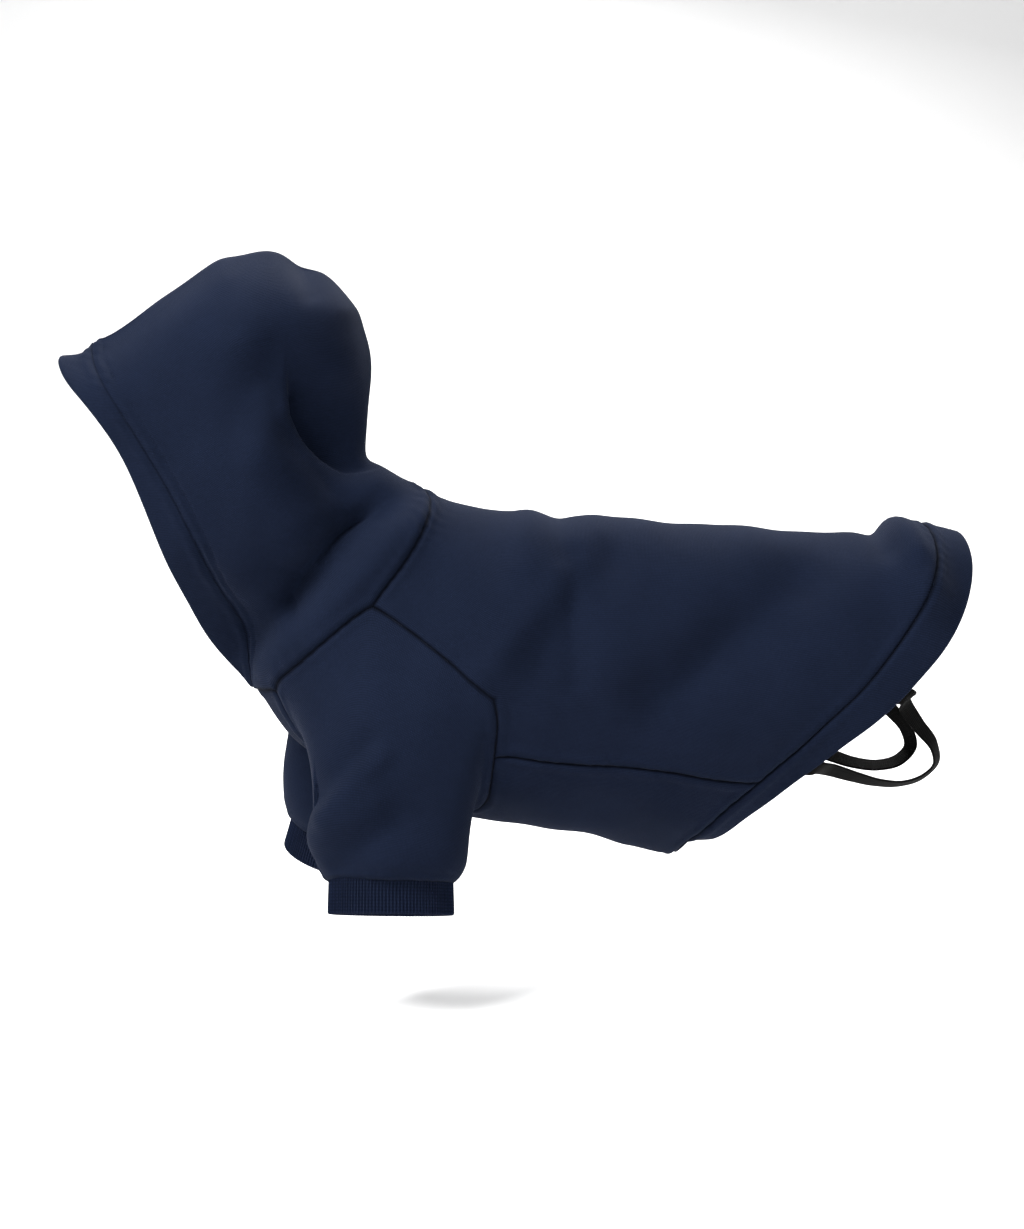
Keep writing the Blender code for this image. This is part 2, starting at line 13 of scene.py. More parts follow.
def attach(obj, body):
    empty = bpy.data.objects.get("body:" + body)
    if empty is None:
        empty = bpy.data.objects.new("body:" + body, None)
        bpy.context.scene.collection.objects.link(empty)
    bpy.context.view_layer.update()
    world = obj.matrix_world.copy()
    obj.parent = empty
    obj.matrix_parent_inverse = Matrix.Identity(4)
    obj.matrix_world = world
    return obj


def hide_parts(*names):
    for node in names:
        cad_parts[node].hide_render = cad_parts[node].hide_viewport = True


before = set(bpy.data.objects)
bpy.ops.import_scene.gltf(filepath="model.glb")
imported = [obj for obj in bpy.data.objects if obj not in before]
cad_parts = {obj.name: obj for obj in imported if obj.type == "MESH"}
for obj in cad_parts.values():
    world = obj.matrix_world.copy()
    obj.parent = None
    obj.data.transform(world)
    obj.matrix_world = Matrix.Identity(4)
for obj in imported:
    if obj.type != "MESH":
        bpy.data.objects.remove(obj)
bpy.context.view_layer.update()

# Driving sizes, in metres, the same as the CAD model's.
BACK_LENGTH = 0.296
CHEST_DEPTH = 0.168
CHEST_WIDTH = 0.13
HOOD_LENGTH = 0.205
HOOD_HEIGHT = 0.132
HOOD_WIDTH = 0.122
HOOD_ROUNDING = 0.062
FACE_WIDTH = 0.094
CHIN_GAP = 0.003
SLEEVE_DROP = 0.1845
SLEEVE_LENGTHWISE = 0.079
SLEEVE_CROSSWISE = 0.053
SLEEVE_SPREAD = 0.0535
SLEEVE_TILT = 0.32
CUFF_HEIGHT = 0.0225
CUFF_TUCK = 0.0065
STRAP_WIDTH = 0.01

# Wall thicknesses. The cuff's is thinner than the CAD model's, because its ribs add to it.
CLOTH = 0.0022
HEM_CLOTH = 0.0034
CUFF_CLOTH = 0.0022
STRAP_CLOTH = 0.0014
SEAM_GAP = 0.0006
STRAP_CLEARANCE = 0.0008
MOST_MITRE = 1.7
SHARP_ANGLE = 55

SWING = {"left": 0.5, "right": 15.0}
SIDES = {"left": -1, "right": 1}

RING = 11
ARMHOLE_TOP, BELLY_SEAM, ARMHOLE_UNDER = 5, 7, 9
ARMHOLE_ROWS = 3
BODY_ROWS = 10
HOOD_ROWS = 8
SMOOTHING = 4

BODY_COLUMNS = (
    "row", "top_x", "top_z", "bottom_x", "bottom_z", "width",
    "bow_back", "bow_belly", "armhole_top", "belly_seam", "armhole_under",
)
BODY_SECTIONS = (
    (0, -0.208, 0.079, -0.526, -0.548, 0.71, 0.12, 0.07, 80, 120, 146),
    (1, -0.164, 0.052, -0.465, -0.725, 0.85, 0.145, 0.11, 79, 117, 155),
    (2, -0.112, 0.022, -0.312, -0.918, 0.95, 0.105, 0.09, 85, 116, 154),
    (3, -0.056, 0.028, -0.115, -0.985, 1.0, 0.01, 0.01, 98, 117, 152),
    (4, 0.04, 0.004, -0.035, -1.005, 1.01, 0.02, 0.01, 96, 117, 151),
    (5, 0.15, 0.001, 0.05, -1.02, 1.0, 0.03, 0.005, 95, 117, 151),
    (6, 0.27, -0.009, 0.12, -1.03, 0.99, 0.045, 0.005, 95, 118, 151),
    (7, 0.39, -0.025, 0.17, -1.04, 0.97, 0.065, 0.01, 95, 118, 151),
    (8, 0.5, -0.044, 0.2, -1.048, 0.95, 0.09, 0.015, 95, 118, 152),
    (9, 0.604, -0.06, 0.22, -1.054, 0.93, 0.115, 0.025, 95, 118, 153),
    (10, 0.708, -0.006, 0.238, -1.058, 0.9, 0.15, 0.035, 95, 118, 154),
    (11, 0.76, -0.038, 0.29, -1.042, 0.89, 0.19, 0.05, 95, 118, 154),
)
SIDE_FULLNESS = 0.85
# The angles between which a section's bow changes from the back's to the belly's.
BOW_CHANGE = (40, 140)

# The hood's centre seam: shares of its length forward of the nape, and of its height above it.
BACK_SEAM = (
    (0.0, 0.0), (0.07, 0.062), (0.132, 0.115), (0.176, 0.128), (0.17, 0.26),
    (0.15, 0.44), (0.152, 0.595), (0.192, 0.728), (0.236, 0.86),
)
CROWN_SEAM = (
    (0.236, 0.85), (0.28, 0.9), (0.335, 0.928), (0.4, 0.976), (0.465, 0.954),
    (0.535, 0.93), (0.6, 0.905), (0.665, 0.815), (0.738, 0.738), (0.808, 0.67),
    (0.848, 0.63), (0.888, 0.595),
)
FACE_TIP = (0.987, 0.582)
CHIN_TIP = (0.49, -0.775)
# How far the face hem's edge and seam bend back from a straight line, by the share of the way up.
EDGE_BEND = (
    (0.0, 0.0), (0.07, -0.02), (0.15, -0.014), (0.27, 0.009), (0.39, 0.03),
    (0.54, 0.057), (0.7, 0.076), (0.88, 0.026), (0.95, 0.003), (1.0, 0.0),
)
SEAM_BEND = (
    (0.0, 0.0), (0.03, 0.02), (0.14, 0.06), (0.27, 0.073), (0.44, 0.081),
    (0.59, 0.068), (0.8, 0.042), (0.9, 0.02), (1.0, 0.0),
)
# Where the hood narrows towards the face, and the rows over which it widens from the neck.
HOOD_FORWARD, HOOD_RISE = (0.35, 1.0), (0, 3.5)
RIM_TURN_IN = 0.97

SHOULDER = (-0.262, -0.3)
SLEEVE_START_ANGLE = 122
# How far down the sleeve each ring lies, and how far out of the armhole.
SLEEVE_RINGS = ((0.25, 0.42), (0.5, 0.72), (0.76, 0.92), (1.0, 1.0))
CUFF_SEAM_DROP, CUFF_END_TUCK = CUFF_TUCK * 0.3, CUFF_TUCK * 0.9

# Soft folds: the CAD model's own, then the finer ones that only show here.
FOLD_COLUMNS = ("on", "start", "end", "reach", "height", "middle", "far")
FOLDS = (
    ("body", (0.04, -0.1), (-0.07, -0.32), 0.105, 0.003, 1.0, 0.8),
    ("body", (0.085, -0.12), (0.01, -0.42), 0.1, -0.004, 1.0, 0.8),
    ("body", (0.35, -0.36), (0.2, -0.6), 0.105, -0.0045, 1.0, 0.7),
    ("body", (0.56, -0.22), (0.48, -0.4), 0.15, 0.0025, 1.0, 0.9),
    ("body", (0.66, 0.0), (0.672, -0.22), 0.08, 0.012, 0.5, 1.0),
    ("body", (0.66, -0.38), (0.56, -0.6), 0.085, 0.0035, 1.0, 1.0),
    ("belly", (0.17, -1.04), (0.26, -1.05), 0.11, 0.008, 1.0, 1.0),
    ("hood", (-0.27, 0.06), (-0.53, -0.38), 0.085, -0.011, 0.0, 1.0),
    ("hood", (-0.225, 0.0), (-0.515, -0.5), 0.07, 0.004, 0.3, 1.0),
    ("hood", (-0.47, 0.42), (-0.34, 0.19), 0.15, -0.018, 0.0, 1.0),
    ("hood", (-0.48, 0.2), (-0.28, 0.09), 0.08, 0.006, 0.0, 1.0),
    ("sleeve", (-0.4, -1.0), (-0.29, -0.84), 0.06, 0.004, 1.0, 0.6),
    ("sleeve", (-0.36, -1.04), (-0.26, -0.92), 0.07, -0.0035, 1.0, 0.6),
)
MIDDLE_REACH = 0.17
FINE_FOLDS = (
    ("body", (0.1, -0.06), (-0.125, -0.52), 0.055, 0.0028, 1.0, 1.0),
    ("body", (0.057, -0.12), (0.057, -0.49), 0.04, -0.0024, 1.0, 1.0),
    ("body", (0.445, -0.21), (0.203, -0.52), 0.09, -0.0045, 1.0, 1.0),
    ("body", (0.583, -0.2), (0.5, -0.36), 0.11, 0.0022, 1.0, 1.0),
    ("body", (-0.019, 0.04), (-0.03, -0.15), 0.045, 0.0018, 1.0, 1.0),
    ("body", (0.033, 0.02), (0.036, -0.12), 0.04, -0.0016, 1.0, 1.0),
    ("hood", (-0.435, 0.84), (-0.405, 0.7), 0.04, -0.0022, 1.0, 1.0),
    ("hood", (-0.378, 0.78), (-0.352, 0.66), 0.06, 0.0035, 1.0, 1.0),
    ("hood", (-0.587, 0.84), (-0.56, 0.74), 0.045, 0.0014, 1.0, 1.0),
    ("hood", (-0.29, 0.04), (-0.45, -0.28), 0.055, -0.0095, 0.0, 1.0),
    ("hood", (-0.5, 0.54), (-0.462, 0.33), 0.085, 0.006, 0.0, 1.0),
    ("hood", (-0.88, 0.52), (-0.845, 0.535), 0.06, 0.0028, 1.0, 1.0),
    ("body", (0.655, 0.03), (0.668, -0.14), 0.035, 0.0028, 1.0, 1.0),
    ("body", (0.606, 0.0), (0.622, -0.12), 0.045, -0.0028, 1.0, 1.0),
    ("sleeve", (-0.375, -0.905), (-0.276, -0.71), 0.035, 0.0034, 1.0, 1.0),
    ("sleeve", (-0.4, -0.865), (-0.3, -0.67), 0.045, -0.0026, 1.0, 1.0),
)

# Creases: a sharp lit ridge with a dent on the left of the line, as one walks along it.
CREASE_COLUMNS = ("on", "reach", "depth", "ridge", "ridge_reach", "line")
CREASES = (
    ("hood", 0.055, 0.012, 0.0026, 0.03, (
        (-0.44, 0.58), (-0.434, 0.43), (-0.424, 0.315), (-0.402, 0.257), (-0.384, 0.22),
        (-0.364, 0.193), (-0.333, 0.166), (-0.3, 0.158), (-0.232, 0.135),
    )),
    ("hood", 0.06, 0.006, 0.0016, 0.03, (
        (-0.505, -0.4), (-0.455, -0.29), (-0.4, -0.17), (-0.35, -0.08), (-0.3, 0.01),
        (-0.255, 0.085),
    )),
)
CREASE_FADE_IN, CREASE_FADE_OUT = 0.35, 0.15

PANELS = (
    ("back_panel", CLOTH), ("belly_panel", CLOTH), ("hem_band", HEM_CLOTH),
    ("sleeve_left", CLOTH), ("sleeve_right", CLOTH), ("cuff_left", CUFF_CLOTH),
    ("cuff_right", CUFF_CLOTH), ("hood_left", CLOTH), ("hood_right", CLOTH),
    ("face_hem", HEM_CLOTH),
)
TAG = {name: number for number, (name, _) in enumerate(PANELS)}

# The hanging part of a strap: shares of the back's length, the chest's depth and half its width, and how far
# the ribbon is turned, in degrees. Its ends lie under the hem band, at these angles from the spine.
STRAP_ROUTE = (
    (0.648, -0.58, 0.62, 25), (0.68, -0.655, 0.52, 38), (0.711, -0.724, 0.46, 52),
    (0.717, -0.781, 0.42, 60), (0.694, -0.826, 0.4, 64), (0.656, -0.846, 0.42, 64),
    (0.61, -0.84, 0.46, 58), (0.565, -0.817, 0.53, 48), (0.518, -0.788, 0.62, 38),
)
STRAP_ENDS = (80, 112)
STRAP_END_ROWS, STRAP_END_SPREAD = (0.35, 0.7, 1.0), 4
STRAP_STEPS = 220

# The seams' shape: how deep the groove is and how wide, and the soft roll of cloth beside it.
GROOVE_DEPTH, GROOVE_REACH = 0.0009, 0.001
ROLL_HEIGHT, ROLL_PLACE, ROLL_REACH = 0.0007, 0.0034, 0.002
SHADE_REACH = 0.00055
FACE_SEAM_SOFTNESS, FACE_SEAM_REACH = 0.65, 0.006
PUCKER_HEIGHT, PUCKER_LENGTH, PUCKER_REACH = 0.00022, 0.0085, 0.008
PUCKER_DIRECTION, PUCKER_WAVER, PUCKER_DRIFT = (0.8, 0.5, 0.9), 2.0, 3.7

# Broad, low undulations of the cloth: the wave's direction over x, y and z, its length and its height.
UNDULATIONS = (
    ((0.9, 0.3, 0.5), 0.052, 0.0005), ((0.6, -0.4, 0.8), 0.037, 0.00035),
    ((-0.8, 0.5, 0.6), 0.071, 0.0006), ((0.2, 0.9, -0.7), 0.044, 0.0003),
    ((1.0, 0.1, -0.3), 0.029, 0.00022),
)
UNDULATION_SHIFT = 7e4

CUFF_RIBS = 112
RIB_COLUMNS = 6
RIB_DEPTH, RIB_SPACING = 0.00042, 0.0016
RIB_FLATNESS = 0.8
BURIED_RIB = 0.6
CUFF_SHRINK = 0.945
# Rows of the cuff, in shares of its height: down its outside, round its folded edge, up its inside.
CUFF_START, CUFF_START_STEP = (0.04, 0.045), 0.0008
CUFF_OUTSIDE, CUFF_INSIDE = (0.1, 0.94, 9), (0.92, 0.04, 5)
CUFF_FOLD, CUFF_FOLD_TURN, CUFF_FOLD_STEPS = 0.95, 0.2, 8
CUFF_ROW_GRAIN = 0.001

STITCH_LINES = (0.0018, 0.0068)
STITCH_LENGTH, STITCH_PITCH, STITCH_RADIUS = 0.0023, 0.0031, 0.00022
STITCH_SINK, STITCH_SINK_REACH = 0.00035, 0.0011
STITCH_LOW, STITCH_END_SINK, STITCH_LOOK_AHEAD = 0.00015, 0.0003, 0.001
# A stitch's rings: where each lies along it, as a share of its length, and how thick it is there.
STITCH_RINGS = ((-0.5, 0.05), (-0.42, 0.7), (-0.2, 1.0), (0.2, 1.0), (0.42, 0.7), (0.5, 0.05))
STITCH_SIDES = 6
UP_THE_FACE = (-0.44, 0, 0.9)


def smooth_step(low, high, value):
    """0 below low, 1 above high, and a smooth rise between them."""
    share = min(1.0, max(0.0, (value - low) / (high - low)))
    return share * share * (3 - 2 * share)


def through(rows, at):
    """The value at a place in a table whose first column is the place, on a smooth curve through its rows."""
    table = np.array(rows, float)
    places, values = table[:, 0], table[:, 1:]
    slopes = np.gradient(values, places, axis=0)
    k = int(np.clip(np.searchsorted(places, at, side="right") - 1, 0, len(places) - 2))
    step = places[k + 1] - places[k]
    t = (at - places[k]) / step
    return (
        (1 + 2 * t) * (1 - t) ** 2 * values[k]
        + t * (1 - t) ** 2 * step * slopes[k]
        + t * t * (3 - 2 * t) * values[k + 1]
        + t * t * (t - 1) * step * slopes[k + 1]
    )


def body_section(row):
    """The named sizes of the body's section at a cage row."""
    return dict(zip(BODY_COLUMNS[1:], through(BODY_SECTIONS, row)))


def section_point(section, angle, side):
    """The skin's point on a section, at an angle in degrees from the spine, on side -1 or 1."""
    top = Vector((section["top_x"] * BACK_LENGTH, section["top_z"] * CHEST_DEPTH))
    bottom = Vector((section["bottom_x"] * BACK_LENGTH, section["bottom_z"] * CHEST_DEPTH))
    chord = (top - bottom) / 2
    rearward = Vector((-chord.y, chord.x)).normalized() * -1
    turn = math.radians(angle)
    belly_share = smooth_step(*BOW_CHANGE, angle)
    bow = section["bow_back"] * (1 - belly_share) + section["bow_belly"] * belly_share
    place = (top + bottom) / 2 + chord * math.cos(turn) + rearward * bow * CHEST_DEPTH * math.sin(turn)
    half_width = section["width"] * CHEST_WIDTH / 2
    out = side * half_width * max(0.0, math.sin(turn)) ** SIDE_FULLNESS
    return Vector((place.x, out, place.y))


def ring_angle(section, j):
    """The angle of the j-th cage line, spaced evenly between the spine, the seams and the belly."""
    stops = (
        (0, 0.0), (ARMHOLE_TOP, section["armhole_top"]), (BELLY_SEAM, section["belly_seam"]),
        (ARMHOLE_UNDER, section["armhole_under"]), (RING, 180.0),
    )
    return float(np.interp(j, [s[0] for s in stops], [s[1] for s in stops]))


def body_point(row, j, side):
    section = body_section(row)
    return section_point(section, ring_angle(section, j), side)


class Cage:
    """Named points and tagged faces, which become one mesh. Grain is where a face's corners lie on the
    cloth, in metres, for the knit's pattern."""

    def __init__(self):
        self.places, self.faces, self.tags, self.grain = {}, [], [], []

    def put(self, key, place):
        self.places[key] = Vector(place)
        return key

    def face(self, keys, grain, tag, outward):
        self.faces.append(keys if outward else keys[::-1])
        self.grain.append(grain if outward else grain[::-1])
        self.tags.append(TAG[tag])

    def mesh(self, name):
        order = {key: number for number, key in enumerate(self.places)}
        mesh = bpy.data.meshes.new(name)
        mesh.from_pydata(
            list(self.places.values()), [], [[order[key] for key in face] for face in self.faces]
        )
        mesh.polygons.foreach_set("material_index", self.tags)
        grain = mesh.uv_layers.new(name="grain")
        grain.uv.foreach_set("vector", np.array([c for face in self.grain for c in face]).ravel())
        mesh.update()
        return mesh


# How far apart the cage's lines lie on the cloth, in metres, along the two directions of its grid.
BODY_GRAIN = (0.031, 0.0207)
SLEEVE_GRAIN = (0.0165, 0.022)
HOOD_GRAIN = (0.0165, 0.0235)


def grain_of(corners, scale):
    return [(a * scale[0], b * scale[1]) for a, b in corners]


def body_key(row, j, side):
    return ("body", row, j, 0 if j in (0, RING) else side)


def add_body(cage):
    """The body's tube from the neck seam to the free edge of the hem, open at the two armholes."""
    for side in SIDES.values():
        for row in range(BODY_ROWS + 2):
            for j in range(RING + 1):
                inside_armhole = row < ARMHOLE_ROWS and ARMHOLE_TOP < j < ARMHOLE_UNDER and row > 0
                if not inside_armhole:
                    cage.put(body_key(row, j, side), body_point(row, j, side))
        for row in range(BODY_ROWS + 1):
            for j in range(RING):
                if row < ARMHOLE_ROWS and ARMHOLE_TOP <= j < ARMHOLE_UNDER:
                    continue
                if row == BODY_ROWS:
                    tag = "hem_band"
                elif j < BELLY_SEAM:
                    tag = "back_panel"
                else:
                    tag = "belly_panel"
                corners = [(row, j), (row + 1, j), (row + 1, j + 1), (row, j + 1)]
                grain = grain_of(corners, BODY_GRAIN)
                cage.face([body_key(*c, side) for c in corners], grain, tag, side > 0)


def armhole_loop(side):
    """The cage points round an armhole: back along its top, down, forward underneath, up the neck."""
    top = [(row, ARMHOLE_TOP) for row in range(ARMHOLE_ROWS)]
    rear = [(ARMHOLE_ROWS, j) for j in range(ARMHOLE_TOP, ARMHOLE_UNDER)]
    under = [(row, ARMHOLE_UNDER) for row in range(ARMHOLE_ROWS, 0, -1)]
    neck = [(0, j) for j in range(ARMHOLE_UNDER, ARMHOLE_TOP, -1)]
    return [body_key(*c, side) for c in top + rear + under + neck]


def sleeve_ring(count, side, drop, lengthwise, crosswise, swing):
    """A ring of points round a front leg, matched to the armhole's loop, swung about the shoulder. Its
    outer side is the higher one."""
    shoulder = Vector((SHOULDER[0] * BACK_LENGTH, SHOULDER[1] * CHEST_DEPTH))
    first_angle = math.radians(SLEEVE_START_ANGLE)
    points = []
    for n in range(count):
        turn = first_angle - 2 * math.pi / count * n
        rise = SLEEVE_TILT * crosswise / 2 * math.sin(turn)
        flat = Vector((shoulder.x + lengthwise / 2 * math.cos(turn), rise - drop))
        arm = flat - shoulder
        lean = math.radians(swing)
        arm = Vector((
            arm.x * math.cos(lean) + arm.y * math.sin(lean),
            arm.y * math.cos(lean) - arm.x * math.sin(lean),
        ))
        out = SLEEVE_SPREAD + crosswise / 2 * math.sin(turn)
        points.append(Vector((shoulder.x + arm.x, side * out, shoulder.y + arm.y)))
    return points


def add_sleeve(cage, name):
    """One sleeve and its cuff, from the armhole's loop down. The sleeve's end turns in above the cuff."""
    side, swing = SIDES[name], SWING[name]
    loop = armhole_loop(side)
    count = len(loop)
    start = [cage.places[key] for key in loop]

    def ring(drop, inset):
        lengthwise, crosswise = SLEEVE_LENGTHWISE - 2 * inset, SLEEVE_CROSSWISE - 2 * inset
        return sleeve_ring(count, side, drop, lengthwise, crosswise, swing)

    end = ring(SLEEVE_DROP, 0.0)
    rings = []
    for down, outward in SLEEVE_RINGS:
        places = []
        for a, b in zip(start, end):
            place = a.lerp(b, outward)
            place.z = a.z + (b.z - a.z) * down
            places.append(place)
        rings.append((places, f"sleeve_{name}"))
    rings.append((ring(SLEEVE_DROP + CUFF_SEAM_DROP, CUFF_TUCK), f"sleeve_{name}"))
    rings.append((ring(SLEEVE_DROP + CUFF_HEIGHT, CUFF_END_TUCK), f"cuff_{name}"))
    last = loop
    for number, (places, tag) in enumerate(rings):
        keys = [cage.put((name, number, n), place) for n, place in enumerate(places)]
        for n in range(count):
            m = (n + 1) % count
            corners = [(n, number), (n + 1, number), (n + 1, number + 1), (n, number + 1)]
            grain = grain_of(corners, SLEEVE_GRAIN)
            cage.face([last[n], last[m], keys[m], keys[n]], grain, tag, side > 0)
        last = keys


def hood_place(share):
    """A point of the hood in side view, from its shares forward of the nape and above it."""
    nape = body_point(0, 0, 1)
    return Vector((nape.x - share[0] * HOOD_LENGTH, nape.z + share[1] * HOOD_HEIGHT))


def face_line(start, end, bend, share):
    """A point on an edge of the face hem in side view, from the chin up to the forehead."""
    along = end - start
    backward = Vector((along.y, -along.x))
    return start + along * share + backward * float(np.interp(share, *zip(*bend)))


def seam_distance(place, seam):
    """How far a side-view point lies from the hood's centre seam."""
    best = math.inf
    for a, b in zip(seam, seam[1:]):
        along = b - a
        share = min(1.0, max(0.0, (place - a).dot(along) / along.length_squared))
        best = min(best, (place - a - along * share).length)
    return best


def hood_grid():
    """Side-view points of the hood's half, by row up from the neck and line j forward from the nape."""
    neck = []
    for j in range(RING + 1):
        place = body_point(0, j, 1)
        neck.append(Vector((place.x, place.z)))
    back = [hood_place(s) for s in BACK_SEAM]
    crown = [hood_place(s) for s in CROWN_SEAM]
    shares = [r / HOOD_ROWS for r in range(HOOD_ROWS + 1)]
    front = [face_line(neck[-1], crown[-1], SEAM_BEND, share) for share in shares]
    grid = []
    for r in range(HOOD_ROWS + 1):
        v = r / HOOD_ROWS
        row = []
        for j in range(RING + 1):
            u = j / RING
            flat = (1 - u) * back[r] + u * front[r] + (1 - v) * neck[j] + v * crown[j]
            corners = (
                (1 - u) * (1 - v) * neck[0] + u * (1 - v) * neck[-1]
                + (1 - u) * v * crown[0] + u * v * crown[-1]
            )
            row.append(flat - corners)
        grid.append(row)
    return grid, back + crown[1:]


def add_hood(cage):
    """Two side panels that meet along the crown, and the wide hem round the face opening."""
    grid, seam = hood_grid()
    tip = hood_place(FACE_TIP)
    chin = hood_place(CHIN_TIP)
    for name, side in SIDES.items():

        def out_at(place, r, j):
            reach = min(1.0, seam_distance(place, seam) / HOOD_ROUNDING)
            forward = smooth_step(*HOOD_FORWARD, j / RING)
            half = (HOOD_WIDTH * (1 - forward) + FACE_WIDTH * forward) / 2
            dome = half * math.sqrt(max(0.0, 1 - (1 - reach) ** 2))
            neck = max(abs(body_point(0, j, 1).y), CHIN_GAP / 2)
            return neck + (dome - neck) * smooth_step(*HOOD_RISE, r)

        def key(r, j):
            if r == 0 and j < RING:
                return body_key(0, j, side)
            if r == HOOD_ROWS and j >= RING:
                return ("hood", r, j, 0)
            return ("hood", r, j, side)

        top_corner = (HOOD_ROWS, 0)
        for r in range(HOOD_ROWS + 1):
            for j in range(RING + 1):
                if (r == 0 and j < RING) or (r, j) == top_corner:
                    continue
                place = grid[r][j]
                on_seam = j == 0 or r == HOOD_ROWS
                out = 0.0 if on_seam else side * out_at(place, r, j)
                cage.put(key(r, j), (place.x, out, place.y))
            rim = face_line(chin, tip, EDGE_BEND, r / HOOD_ROWS)
            inner = cage.places[key(r, RING)]
            out = 0.0 if r == HOOD_ROWS else inner.y * RIM_TURN_IN
            cage.put(key(r, RING + 1), (rim.x, out, rim.y))
        for r in range(HOOD_ROWS):
            for j in range(RING + 1):
                tag = "face_hem" if j == RING else f"hood_{name}"
                corners = [(r, j), (r + 1, j), (r + 1, j + 1), (r, j + 1)]
                corners = [c for c in corners if c != top_corner]
                grain = grain_of([(c[1], c[0]) for c in corners], HOOD_GRAIN)
                cage.face([key(*c) for c in corners], grain, tag, side < 0)


def smoothed(mesh, levels):
    """The mesh after Blender's subdivision surface."""
    helper = bpy.data.objects.new("skin_cage", mesh)
    bpy.context.scene.collection.objects.link(helper)
    surface = helper.modifiers.new("smooth", "SUBSURF")
    surface.levels = surface.render_levels = levels
    surface.boundary_smooth = "ALL"
    bpy.context.view_layer.update()
    graph = bpy.context.evaluated_depsgraph_get()
    made = bpy.data.meshes.new_from_object(helper.evaluated_get(graph))
    bpy.data.objects.remove(helper)
    bpy.data.meshes.remove(mesh)
    return made


def values_of(items, field, width, kind=float):
    """A field of Blender's items as an array, one row for each item."""
    values = np.empty(len(items) * width, kind)
    items.foreach_get(field, values)
    return values.reshape(-1, width)


def nearest(points, targets):
    """How far each point lies from the nearest of the targets."""
    tree = KDTree(len(targets))
    for number, target in enumerate(targets):
        tree.insert(target, number)
    tree.balance()
    return np.array([tree.find(p)[2] for p in points])


def off_line(flat, start, end):
    """How far side-view points lie off a line."""
    along = end - start
    share = np.clip(((flat - start) @ along) / (along @ along), 0, 1)
    return np.linalg.norm(flat - start - share[:, None] * along, axis=1)


def along_route(flat, route):
    """For side-view points: how far along a bent line each is, from 0 to 1, and how far to its left."""
    lengths = np.linalg.norm(np.diff(route, axis=0), axis=1)
    best = np.full(len(flat), np.inf)
    share, left = np.zeros(len(flat)), np.zeros(len(flat))
    done = 0.0
    for start, end, length in zip(route, route[1:], lengths):
        along = (end - start) / length
        reach = np.clip((flat - start) @ along, 0, length)
        off = flat - start - reach[:, None] * along
        away = np.linalg.norm(off, axis=1)
        nearer = away < best
        side = np.sign(along[0] * off[:, 1] - along[1] * off[:, 0])
        best = np.where(nearer, away, best)
        share = np.where(nearer, (done + reach) / lengths.sum(), share)
        left = np.where(nearer, away * side, left)
        done += length
    return share, left


